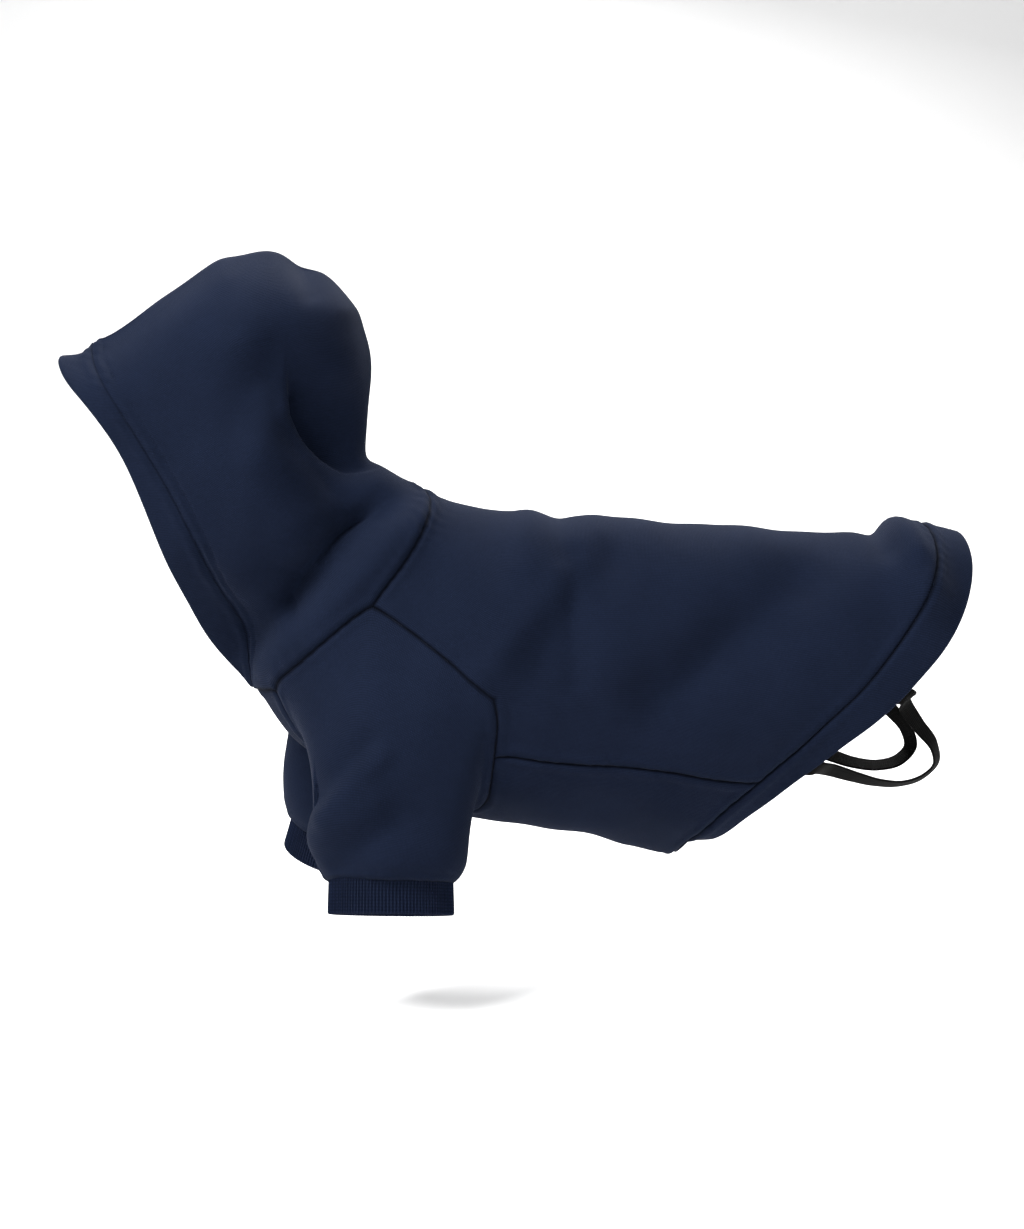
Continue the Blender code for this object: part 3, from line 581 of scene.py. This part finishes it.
class Skin:
    """The garment's middle surface: places, outward normals, and tagged quads."""

    def __init__(self, levels):
        cage = Cage()
        add_body(cage)
        for name in SIDES:
            add_sleeve(cage, name)
        add_hood(cage)
        mesh = smoothed(cage.mesh("skin"), levels)
        self.quads = values_of(mesh.loops, "vertex_index", 1, np.int64).reshape(-1, 4)
        self.tags = values_of(mesh.polygons, "material_index", 1, np.int64).ravel()
        self.grain = values_of(mesh.uv_layers["grain"].uv, "vector", 2).reshape(-1, 4, 2)
        count = len(mesh.vertices)
        self.on = {}
        shared = np.zeros(count, int)
        for name, tag in TAG.items():
            mask = np.zeros(count, bool)
            mask[self.quads[self.tags == tag]] = True
            self.on[name] = mask
            shared += mask
        self.on_seam = shared > 1
        places, normals = self.read(mesh)
        self.settle(mesh, places + normals * self.fold_heights(places)[:, None])
        self.settle(mesh, self.places - np.array([0, 0, self.height_at_origin() - CLOTH / 2]))
        self.seam_distance = nearest(self.places, self.places[self.on_seam])
        face_seam = self.on["face_hem"] & (self.on["hood_left"] | self.on["hood_right"])
        away = nearest(self.places, self.places[face_seam])
        self.seam_strength = 1 - FACE_SEAM_SOFTNESS * np.exp(-((away / FACE_SEAM_REACH) ** 2))
        self.spread = self.mitre()
        bpy.data.meshes.remove(mesh)

    def settle(self, mesh, places):
        mesh.vertices.foreach_set("co", places.ravel())
        mesh.update()
        self.places, self.normals = self.read(mesh)
        self.tree = BVHTree.FromPolygons([Vector(p) for p in self.places], self.quads.tolist())

    def height_at_origin(self):
        """How high the back's middle surface lies above the point that becomes the origin."""
        start = Vector((0, SEAM_GAP, -CHEST_DEPTH / 2))
        self.drop = self.tree.ray_cast(start, Vector((0, 0, 1)))[0].z
        return self.drop

    @staticmethod
    def read(mesh):
        places = values_of(mesh.vertices, "co", 3)
        normals = values_of(mesh.vertex_normals, "vector", 3)
        middle = np.abs(places[:, 1]) < 1e-7
        places[middle, 1] = 0.0
        normals[middle, 1] = 0.0
        normals /= np.linalg.norm(normals, axis=1, keepdims=True)
        return places, normals

    def group(self, name):
        """The skin points that a fold's first column means."""
        names = {
            "body": ("back_panel", "belly_panel", "hem_band"), "belly": ("belly_panel",),
            "hood": ("hood_left", "hood_right", "face_hem"), "sleeve": ("sleeve_left", "sleeve_right"),
        }[name]
        return np.any([self.on[n] for n in names], axis=0)

    def fold_heights(self, places):
        """How far each skin point is pushed out by the folds and undulations."""
        heights = np.zeros(len(places))
        size = np.array((BACK_LENGTH, CHEST_DEPTH))
        flat = places[:, [0, 2]]
        centred = np.exp(-((places[:, 1] / (MIDDLE_REACH * CHEST_WIDTH)) ** 2))
        for row in FOLDS + FINE_FOLDS:
            fold = dict(zip(FOLD_COLUMNS, row))
            away = off_line(flat, np.array(fold["start"]) * size, np.array(fold["end"]) * size)
            height = fold["height"] * np.exp(-((away / (fold["reach"] * CHEST_DEPTH)) ** 2))
            height *= np.where(places[:, 1] > 0, fold["far"], 1.0)
            height *= 1 - (1 - fold["middle"]) * centred
            if fold["on"] == "sleeve":
                height *= np.abs(places[:, 1]) > SLEEVE_SPREAD
            if fold["on"] == "belly":
                height *= centred
            heights += np.where(self.group(fold["on"]), height, 0.0)
        for row in CREASES:
            crease = dict(zip(CREASE_COLUMNS, row))
            share, left = along_route(flat, np.array(crease["line"]) * size)
            reach, ridge_reach = crease["reach"] * CHEST_DEPTH, crease["ridge_reach"] * CHEST_DEPTH
            steep = np.maximum(left, 0) / reach
            height = crease["ridge"] * np.exp(-(((left + ridge_reach / 2) / ridge_reach) ** 2))
            height -= crease["depth"] * steep * np.exp(1 - steep)
            height *= np.clip(share / CREASE_FADE_IN, 0, 1) ** 2
            height *= np.clip((1 - share) / CREASE_FADE_OUT, 0, 1)
            heights += np.where(self.group(crease["on"]), height * (1 - centred), 0.0)
        for direction, length, height in UNDULATIONS:
            turn = np.array(direction) / np.linalg.norm(direction)
            heights += height * np.sin(2 * math.pi * places @ turn / length + UNDULATION_SHIFT * height)
        return heights

    def mitre(self):
        """How much farther a point must move along its normal where the skin bends sharply."""
        corners = self.places[self.quads]
        across = np.cross(corners[:, 2] - corners[:, 0], corners[:, 3] - corners[:, 1])
        across /= np.maximum(np.linalg.norm(across, axis=1, keepdims=True), 1e-12)
        straight, count = np.zeros(len(self.places)), np.zeros(len(self.places))
        for c in range(4):
            v = self.quads[:, c]
            np.add.at(straight, v, np.einsum("ij,ij->i", self.normals[v], across))
            np.add.at(count, v, 1)
        return 1 / np.clip(straight / count, 1 / MOST_MITRE, 1)

    def relief(self, stitched):
        """How far the outer face stands off its usual place, from the seams, their puckers and stitching."""
        off = self.seam_distance
        relief = -GROOVE_DEPTH * self.seam_strength * np.exp(-((off / GROOVE_REACH) ** 2))
        relief += ROLL_HEIGHT * np.exp(-(((off - ROLL_PLACE) / ROLL_REACH) ** 2))
        phase = 2 * math.pi * (self.places @ np.array(PUCKER_DIRECTION)) / PUCKER_LENGTH
        drift = self.places[:, 0] - self.places[:, 2]
        phase += PUCKER_WAVER * np.sin(2 * math.pi * drift / (PUCKER_LENGTH * PUCKER_DRIFT))
        relief += PUCKER_HEIGHT * np.sin(phase) * np.exp(-((off / PUCKER_REACH) ** 2))
        relief -= STITCH_SINK * np.exp(-((stitched / STITCH_SINK_REACH) ** 2))
        return relief


def rim_edges(quads, count):
    """The edges on one quad only, each in its quad's own direction."""
    ends = np.concatenate([quads[:, [c, (c + 1) % 4]] for c in range(4)])
    keys = ends[:, 0] * count + ends[:, 1]
    backward = ends[:, 1] * count + ends[:, 0]
    return ends[~np.isin(keys, backward)]


RIM_STEPS = 5


def panel_mesh(skin, name, cloth, relief):
    """A panel with a rounded rim: full round at a free edge, and nearly square at a seam."""
    mine = skin.tags == TAG[name]
    used, quads = np.unique(skin.quads[mine], return_inverse=True)
    quads = quads.reshape(-1, 4)
    grain = skin.grain[mine]
    count = len(used)
    places, normals = skin.places[used].copy(), skin.normals[used] * skin.spread[used, None]
    rims = rim_edges(quads, count)
    rim = np.unique(rims)
    inward = np.zeros_like(places)
    centres = places[quads].mean(axis=1)
    for c in range(4):
        np.add.at(inward, quads[:, c], centres - places[quads[:, c]])
    flat_normals = skin.normals[used]
    inward -= flat_normals * np.einsum("ij,ij->i", inward, flat_normals)[:, None]
    inward /= np.maximum(np.linalg.norm(inward, axis=1, keepdims=True), 1e-12)
    lift = cloth / 2 + relief[used]
    layers = [places + normals * lift[:, None]]
    row_of = np.full(count, -1)
    row_of[rim] = np.arange(len(rim))
    bulge = np.where(skin.on_seam[used[rim]], 0.0, cloth / 2)
    for step in range(1, RIM_STEPS):
        turn = math.pi * step / RIM_STEPS
        height = np.where(math.cos(turn) > 0, lift[rim], cloth / 2) * math.cos(turn)
        out = bulge * math.sin(turn)
        layers.append(places[rim] + normals[rim] * height[:, None] - inward[rim] * out[:, None])
    layers.append(places - normals * cloth / 2)
    starts = np.cumsum([0] + [len(layer) for layer in layers])
    faces = [quads, quads[:, ::-1] + starts[-2]]
    corner_grain = [grain, grain[:, ::-1]]
    point_grain = np.zeros((count, 2))
    point_grain[quads.ravel()] = grain.reshape(-1, 2)
    a, b = rims[:, 0], rims[:, 1]
    rows = [np.arange(count)] + [row_of] * (RIM_STEPS - 1) + [np.arange(count)]
    for step in range(RIM_STEPS):
        near, far = starts[step] + rows[step], starts[step + 1] + rows[step + 1]
        faces.append(np.stack([near[b], near[a], far[a], far[b]], axis=1))
        corner_grain.append(np.stack([point_grain[end] for end in (b, a, a, b)], axis=1))
    mesh = mesh_of(name, np.vstack(layers), np.vstack(faces), np.concatenate(corner_grain))
    shade = mesh.attributes.new("seam_shade", "FLOAT", "POINT")
    shades = np.zeros(len(mesh.vertices), np.float32)
    away = skin.seam_distance[used]
    shades[:count] = skin.seam_strength[used] * np.exp(-((away / SHADE_REACH) ** 2))
    shade.data.foreach_set("value", shades)
    return mesh


def mesh_of(name, places, faces, grain):
    mesh = bpy.data.meshes.new(name)
    mesh.from_pydata(places.tolist(), [], faces.tolist())
    layer = mesh.uv_layers.new(name="grain")
    layer.uv.foreach_set("vector", np.ascontiguousarray(grain, np.float32).ravel())
    mesh.shade_smooth()
    mesh.set_sharp_from_angle(angle=math.radians(SHARP_ANGLE))
    mesh.update()
    return mesh


def cuff_mesh(skin, name):
    """A knitted cuff with raised ribs all round, folded over at its free edge."""
    side = SIDES[name]
    columns = CUFF_RIBS * RIB_COLUMNS
    half = CUFF_CLOTH / 2
    profile = [(CUFF_START[0], half - CUFF_START_STEP), (CUFF_START[1], half)]
    profile += [(down, half) for down in np.linspace(*CUFF_OUTSIDE)]
    for turn in np.linspace(CUFF_FOLD_TURN, math.pi - CUFF_FOLD_TURN, CUFF_FOLD_STEPS):
        profile.append((CUFF_FOLD + half / CUFF_HEIGHT * math.sin(turn), half * math.cos(turn)))
    profile += [(down, -half) for down in np.linspace(*CUFF_INSIDE)]
    ribs = np.cos(2 * math.pi * np.arange(columns) / RIB_COLUMNS)
    ribs = np.sign(ribs) * np.abs(ribs) ** RIB_FLATNESS * RIB_DEPTH
    grid = []
    for down, off in profile:
        inset = CUFF_TUCK + (CUFF_END_TUCK - CUFF_TUCK) * down
        drop = SLEEVE_DROP + CUFF_SEAM_DROP + (CUFF_HEIGHT - CUFF_SEAM_DROP) * down
        sizes = [(size - 2 * inset) * CUFF_SHRINK for size in (SLEEVE_LENGTHWISE, SLEEVE_CROSSWISE)]
        ring = np.array(sleeve_ring(columns, side, drop, *sizes, SWING[name]))
        ring[:, 2] -= skin.drop - CLOTH / 2
        along = np.roll(ring, -1, axis=0) - np.roll(ring, 1, axis=0)
        outward = np.cross(along, (0, 0, 1.0)) * -side
        outward /= np.linalg.norm(outward, axis=1, keepdims=True)
        if (outward * (ring - ring.mean(axis=0))).sum() < 0:
            outward = -outward
        reach = off + ribs * (BURIED_RIB if abs(off) < half else 1.0) * (1 if off > 0 else -BURIED_RIB)
        grid.append(ring + outward * reach[:, None])
    rows = len(grid)
    faces, grain = [], []
    n = np.arange(columns)
    m = (n + 1) % columns
    for row in range(rows):
        below = (row + 1) % rows
        here, there = row * columns, below * columns
        quad = np.stack([here + n, here + m, there + m, there + n], axis=1)
        faces.append(quad if side > 0 else quad[:, ::-1])
        corners = []
        for over, under in ((0, 0), (1, 0), (1, 1), (0, 1)):
            down = np.full(columns, (row + under) * CUFF_ROW_GRAIN)
            corners.append(np.stack([(n + over) * RIB_SPACING / RIB_COLUMNS, down], 1))
        corners = np.stack(corners, 1)
        grain.append(corners if side > 0 else corners[:, ::-1])
    return mesh_of(f"cuff_{name}", np.vstack(grid), np.vstack(faces), np.concatenate(grain))


def strap_route(skin, side):
    """The strap's middle points and ribbon directions, from one end under the hem round to the other."""
    tuck = HEM_CLOTH / 2 + STRAP_CLEARANCE + STRAP_CLOTH / 2
    shift = Vector((0, 0, skin.drop - CLOTH / 2))
    ends = []
    for angle in STRAP_ENDS:
        held = []
        for share in STRAP_END_ROWS:
            section = body_section(BODY_ROWS + share)
            spot = section_point(section, angle, side) - shift
            place, normal, _, _ = skin.tree.find_nearest(spot)
            edge = section_point(section, angle + STRAP_END_SPREAD, side)
            edge -= section_point(section, angle - STRAP_END_SPREAD, side)
            held.append((place - normal * tuck, edge.normalized()))
        clear = (held[-1][0] - held[-2][0]).normalized() * STRAP_WIDTH / 2
        held.append((held[-1][0] + clear, held[-1][1]))
        ends.append(held)
    first, last = ends[0], [(p, e) for p, e in reversed(ends[1])]
    points = [p for p, _ in first]
    ribbons = [e for _, e in first]
    for x, z, out, turn in STRAP_ROUTE:
        points.append(Vector((x * BACK_LENGTH, side * out * CHEST_WIDTH / 2, z * CHEST_DEPTH)) - shift)
        ribbons.append(turn)
    points += [p for p, _ in last]
    ribbons += [e for _, e in last]
    return points, ribbons


# Half the strap's outline, as shares of half its width and half its thickness.
STRAP_OUTLINE = (
    (-0.93, 0.75), (-0.8, 1.0), (-0.55, 0.86), (-0.3, 1.0), (0.0, 0.86),
    (0.3, 1.0), (0.55, 0.86), (0.8, 1.0), (0.93, 0.75), (1.0, 0.0),
)


def strap_mesh(skin, name):
    """One elastic strap, with soft edges and the lengthwise ridges of its rubber threads."""
    side = SIDES[name]
    points, ribbons = strap_route(skin, side)
    lengths = np.cumsum([0.0] + [(b - a).length for a, b in zip(points, points[1:])])
    wide = []
    for k, ribbon in enumerate(ribbons):
        ahead = (points[min(k + 1, len(points) - 1)] - points[max(k - 1, 0)]).normalized()
        if isinstance(ribbon, Vector):
            across = ribbon - ahead * ribbon.dot(ahead)
        else:
            flat = ahead.cross(Vector((0, 1, 0))).normalized()
            across = flat * math.cos(math.radians(ribbon))
            across += ahead.cross(flat) * math.sin(math.radians(ribbon)) * side
        across.normalize()
        if wide and across.dot(wide[-1]) < 0:
            across.negate()
        wide.append(across)
    route = [(length, *p) for length, p in zip(lengths, points)]
    turns = [(length, *w) for length, w in zip(lengths, wide)]
    outline = list(STRAP_OUTLINE) + [(x, -y) for x, y in STRAP_OUTLINE[-2::-1]] + [(-1.0, 0.0)]
    steps = np.linspace(0, lengths[-1], STRAP_STEPS)
    middles = np.array([through(route, at) for at in steps])
    aheads = np.gradient(middles, axis=0)
    aheads /= np.linalg.norm(aheads, axis=1, keepdims=True)
    across = np.array([through(turns, at) for at in steps])
    across -= aheads * np.einsum("ij,ij->i", across, aheads)[:, None]
    across /= np.linalg.norm(across, axis=1, keepdims=True)
    up = np.cross(aheads, across)
    grid = np.concatenate([
        [m + a * x * STRAP_WIDTH / 2 + u * y * STRAP_CLOTH / 2 for x, y in outline]
        for m, a, u in zip(middles, across, up)
    ])
    size = len(outline)
    faces = []
    for k in range(STRAP_STEPS - 1):
        for c in range(size):
            d = (c + 1) % size
            faces.append([k * size + c, (k + 1) * size + c, (k + 1) * size + d, k * size + d])
    mesh = bpy.data.meshes.new(f"leg_strap_{name}")
    last = (STRAP_STEPS - 1) * size
    caps = [list(range(size)), [last + c for c in reversed(range(size))]]
    mesh.from_pydata(grid.tolist(), [], faces + caps)
    grain = mesh.uv_layers.new(name="grain")
    coords = []
    for face in mesh.polygons:
        for v in face.vertices:
            coords += [(v // size) * lengths[-1] / STRAP_STEPS, outline[v % size][0] * STRAP_WIDTH / 2]
    grain.uv.foreach_set("vector", np.array(coords, np.float32))
    mesh.shade_smooth()
    mesh.update()
    return mesh, float(lengths[-1])


def stitch_paths(skin):
    """Lines behind the face hem's seam, on the hood: places on the middle surface and their normals."""
    paths = []
    for name in SIDES:
        both = np.flatnonzero(skin.on["face_hem"] & skin.on[f"hood_{name}"])
        order = both[np.argsort(skin.places[both] @ np.array(UP_THE_FACE))]
        line, normals = skin.places[order], skin.normals[order]
        ahead = np.gradient(line, axis=0)
        back = np.cross(ahead, normals)
        back /= np.linalg.norm(back, axis=1, keepdims=True)
        back *= np.sign(back[:, 0].sum())
        for off in STITCH_LINES:
            spots, facing = [], []
            for place, away in zip(line, back):
                spot, normal, _, _ = skin.tree.find_nearest(Vector(place + away * off))
                spots.append(spot)
                facing.append(normal)
            paths.append((name, np.array(spots), np.array(facing)))
    return paths


def point_at(line, length, at):
    return np.array([np.interp(at, length, line[:, c]) for c in range(3)])


def stitch_mesh(paths, lift, name):
    """Small rounded stitches, one after the other along each path."""
    around = STITCH_SIDES
    places, faces = [], []
    for line, normals in paths:
        length = np.concatenate([[0], np.cumsum(np.linalg.norm(np.diff(line, axis=0), axis=1))])
        for at in np.arange(STITCH_PITCH, length[-1] - STITCH_PITCH, STITCH_PITCH):
            spot = point_at(line, length, at)
            ahead = point_at(line, length, at + STITCH_LOOK_AHEAD) - spot
            ahead /= np.linalg.norm(ahead)
            up = point_at(normals, length, at)
            up -= ahead * (up @ ahead)
            up /= np.linalg.norm(up)
            aside = np.cross(ahead, up)
            start = len(places)
            for share, thick in STITCH_RINGS:
                sunk = lift - STITCH_END_SINK * (2 * share) ** 4
                centre = spot + ahead * share * STITCH_LENGTH + up * sunk
                for c in range(around):
                    turn = 2 * math.pi * c / around
                    reach = thick * STITCH_RADIUS
                    places.append(centre + (up * math.cos(turn) + aside * math.sin(turn)) * reach)
            for r in range(len(STITCH_RINGS) - 1):
                for c in range(around):
                    d = (c + 1) % around
                    k = start + r * around
                    faces.append([k + c, k + d, k + around + d, k + around + c])
            faces.append([start + c for c in reversed(range(around))])
            faces.append([start + (len(STITCH_RINGS) - 1) * around + c for c in range(around)])
    mesh = bpy.data.meshes.new(name)
    mesh.from_pydata([tuple(p) for p in places], [], faces)
    mesh.shade_smooth()
    mesh.update()
    return mesh


class Shader:
    def __init__(self, name, colour, roughness, **more):
        self.material = bpy.data.materials.new(name)
        self.material.use_nodes = True
        self.tree = self.material.node_tree
        self.main = self.tree.nodes["Principled BSDF"]
        self.main.inputs["Base Color"].default_value = (*colour, 1)
        self.main.inputs["Roughness"].default_value = roughness
        for key, value in more.items():
            self.main.inputs[key.replace("_", " ")].default_value = value

    def node(self, kind, links=(), **values):
        made = self.tree.nodes.new(kind)
        for key, value in values.items():
            if key in made.inputs.keys():
                made.inputs[key].default_value = value
            else:
                setattr(made, key, value)
        for key, source in links:
            self.tree.links.new(source, made.inputs[key])
        return made

    def link(self, source, key):
        self.tree.links.new(source, self.main.inputs[key])

    def join(self, operation, first, second):
        return self.node("ShaderNodeMath", [(0, first), (1, second)], operation=operation).outputs[0]

    def noise(self, scale, detail, roughness):
        place = self.node("ShaderNodeTexCoord").outputs["Object"]
        values = {"Scale": scale, "Detail": detail, "Roughness": roughness}
        return self.node("ShaderNodeTexNoise", [("Vector", place)], **values).outputs["Fac"]

    def stripes(self, direction, spacing, distortion, detail):
        """Soft stripes on the cloth's grain, spaced in metres."""
        grain = self.node("ShaderNodeUVMap", uv_map="grain").outputs["UV"]
        values = {"Scale": WAVE_SPACING / spacing, "Distortion": distortion, "Detail": detail}
        made = self.node("ShaderNodeTexWave", [("Vector", grain)], bands_direction=direction, **values)
        return made.outputs["Fac"]

    def ramp(self, source, stops):
        made = self.node("ShaderNodeValToRGB", [("Fac", source)])
        for element, (position, colour) in zip(made.color_ramp.elements, stops):
            element.position = position
            element.color = (*colour, 1)
        return made.outputs["Color"]

    def bump(self, source, strength, distance):
        made = self.node("ShaderNodeBump", [("Height", source)], Strength=strength, Distance=distance)
        self.link(made.outputs["Normal"], "Normal")


# The stripes' spacing, in metres, where a wave texture's scale is 1.
WAVE_SPACING = 0.314
SEAM_DARKNESS = 0.35
WALE_SPACING, COURSE_SPACING, NAP_DEPTH = 0.0008, 0.0008 * 0.8, 0.0003
RIB_THREAD, LONG_THREAD, WEAVE_DEPTH = 0.0011, 0.0009, 0.0003
KNIT_SHEEN = {"Sheen_Weight": 0.03, "Sheen_Roughness": 0.4, "Sheen_Tint": (0.55, 0.65, 1.0, 1.0)}
NAVY = ((0.0033, 0.0055, 0.0131), (0.008, 0.0127, 0.0296))
RIB_NAVY = ((0.0036, 0.006, 0.015), (0.0088, 0.0135, 0.032))
THREAD_NAVY = (0.0055, 0.009, 0.0215)
ELASTIC_BLACK = ((0.0004, 0.0004, 0.0004), (0.0016, 0.0016, 0.0016))
PAPER_WHITE = (0.88, 0.88, 0.88)


def knit(name, dark, light):
    """Brushed knit: fine wales along the grain, a lint-like nap, and slightly uneven dyeing."""
    s = Shader(name, dark, 0.92, Specular_IOR_Level=0.04, **KNIT_SHEEN)
    patches = s.noise(26.0, 5.0, 0.6)
    nap = s.noise(900.0, 3.0, 0.7)
    wales = s.stripes("Y", WALE_SPACING, 1.2, 2.0)
    courses = s.stripes("X", COURSE_SPACING, 1.6, 2.0)
    loops = s.join("MULTIPLY", wales, courses)
    shade = s.join("ADD", s.join("MULTIPLY", patches, nap), loops)
    dyed = s.ramp(shade, ((0.12, dark), (0.95, light)))
    seam = s.node("ShaderNodeAttribute", attribute_name="seam_shade").outputs["Fac"]
    shadow = (*(c * SEAM_DARKNESS for c in dark), 1)
    darker = s.node("ShaderNodeMixRGB", [("Fac", seam), ("Color1", dyed)], Color2=shadow)
    s.link(darker.outputs["Color"], "Base Color")
    s.bump(s.join("ADD", nap, loops), 0.5, NAP_DEPTH)
    return s.material


def webbing(name, dark, light):
    """Woven elastic: ribs across it and threads along it."""
    s = Shader(name, light, 0.7, Specular_IOR_Level=0.05)
    across = s.stripes("X", RIB_THREAD, 0.6, 1.0)
    along = s.stripes("Y", LONG_THREAD, 0.4, 1.0)
    both = s.join("ADD", across, along)
    s.link(s.ramp(both, ((0.2, dark), (1.0, light))), "Base Color")
    s.bump(both, 0.6, WEAVE_DEPTH)
    return s.material


def add_piece(name, mesh, material, nodes):
    piece = bpy.data.objects.new(name, mesh)
    bpy.context.scene.collection.objects.link(piece)
    mesh.materials.append(material)
    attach(piece, "root")
    if nodes:
        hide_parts(*nodes)
    return piece


VIEW_CENTRE = Vector((-0.0154, 0.0, -0.0537))
VIEW_DISTANCE, VIEW_ELEVATION = 0.87, 5.0
LENS, SENSOR = 46.33, 36
FLOOR_HEIGHT, FLOOR_WIDTH = -0.262, 8.0
FLOOR_FRONT, FLOOR_MIDDLE, FLOOR_BEND, WALL_HEIGHT = -3.0, 0.6, 1.4, 4.0
BEND_RADIUS, BEND_TURNS = 1.2, np.linspace(0.15, math.pi / 2, 10)
SURROUND_STRENGTH = 0.15
# Each light's place, what it points at, its size, and its power in watts.
LIGHTS = {
    "key": ((-0.95, -0.8, 1.35), (0, 0, -0.05), (0.7, 0.7), 68),
    "fill": ((1.2, -1.2, 0.5), (0, 0, -0.05), (1.4, 1.4), 9),
    "back": ((0.3, 1.2, 1.6), (0, 0.6, 0), (1.6, 1.2), 80),
}


def add_camera():
    camera = bpy.data.cameras.new("camera")
    camera.sensor_width = SENSOR
    camera.lens = LENS
    holder = bpy.data.objects.new("camera", camera)
    bpy.context.scene.collection.objects.link(holder)
    lift = math.radians(VIEW_ELEVATION)
    holder.location = VIEW_CENTRE + Vector((0, -math.cos(lift), math.sin(lift))) * VIEW_DISTANCE
    holder.rotation_euler = (VIEW_CENTRE - holder.location).to_track_quat("-Z", "Y").to_euler()
    bpy.context.scene.camera = holder


def add_light(name, place, target, size, power):
    lamp = bpy.data.lights.new(name, "AREA")
    lamp.shape = "RECTANGLE"
    lamp.size, lamp.size_y = size
    lamp.energy = power
    holder = bpy.data.objects.new(name, lamp)
    bpy.context.scene.collection.objects.link(holder)
    holder.location = place
    holder.rotation_euler = (Vector(target) - Vector(place)).to_track_quat("-Z", "Y").to_euler()
    holder.visible_camera = False


def add_studio():
    """A pale floor that curves up behind the object, a white surround and soft lights."""
    outline = [(FLOOR_FRONT, 0.0), (FLOOR_MIDDLE, 0.0), (FLOOR_BEND, 0.0)]
    for turn in BEND_TURNS:
        outline.append((FLOOR_BEND + BEND_RADIUS * math.sin(turn), BEND_RADIUS * (1 - math.cos(turn))))
    outline.append((FLOOR_BEND + BEND_RADIUS, WALL_HEIGHT))
    ends = (-FLOOR_WIDTH / 2, FLOOR_WIDTH / 2)
    places = [(x, y, FLOOR_HEIGHT + z) for y, z in outline for x in ends]
    faces = [(2 * k, 2 * k + 1, 2 * k + 3, 2 * k + 2) for k in range(len(outline) - 1)]
    mesh = bpy.data.meshes.new("floor")
    mesh.from_pydata(places, [], faces)
    mesh.shade_smooth()
    floor = bpy.data.objects.new("floor", mesh)
    bpy.context.scene.collection.objects.link(floor)
    mesh.materials.append(Shader("pale_paper", PAPER_WHITE, 0.9).material)
    world = bpy.data.worlds.new("surround")
    world.use_nodes = True
    surround = world.node_tree.nodes["Background"].inputs
    surround["Color"].default_value = (1.0, 1.0, 1.0, 1)
    surround["Strength"].default_value = SURROUND_STRENGTH
    bpy.context.scene.world = world
    for name, (place, target, size, power) in LIGHTS.items():
        add_light(name, place, target, size, power)
    bpy.context.scene.view_settings.view_transform = "Standard"


def main():
    add_camera()
    add_studio()
    skin = Skin(SMOOTHING)
    paths = stitch_paths(skin)
    stitched = nearest(skin.places, np.vstack([line for _, line, _ in paths]))
    relief = skin.relief(stitched)
    navy = knit("navy_knit", *NAVY)
    rib = knit("navy_rib_knit", *RIB_NAVY)
    thread = Shader("navy_thread", THREAD_NAVY, 0.8, Specular_IOR_Level=0.05).material
    elastic = webbing("black_elastic", *ELASTIC_BLACK)
    for name, cloth in PANELS:
        if name.startswith("cuff"):
            continue
        mesh = panel_mesh(skin, name, cloth, relief)
        add_piece(f"{name}_cloth", mesh, navy, [name])
    for name in SIDES:
        mine = [(line, normals) for side, line, normals in paths if side == name]
        mesh = stitch_mesh(mine, CLOTH / 2 - STITCH_LOW, f"hem_stitches_{name}")
        add_piece(f"hem_stitches_{name}", mesh, thread, [])
    for name in SIDES:
        cuff = add_piece(f"cuff_{name}_knit", cuff_mesh(skin, name), rib, [f"cuff_{name}"])
        mesh, length = strap_mesh(skin, name)
        strap = add_piece(f"leg_strap_{name}_elastic", mesh, elastic, [f"leg_strap_{name}"])


main()
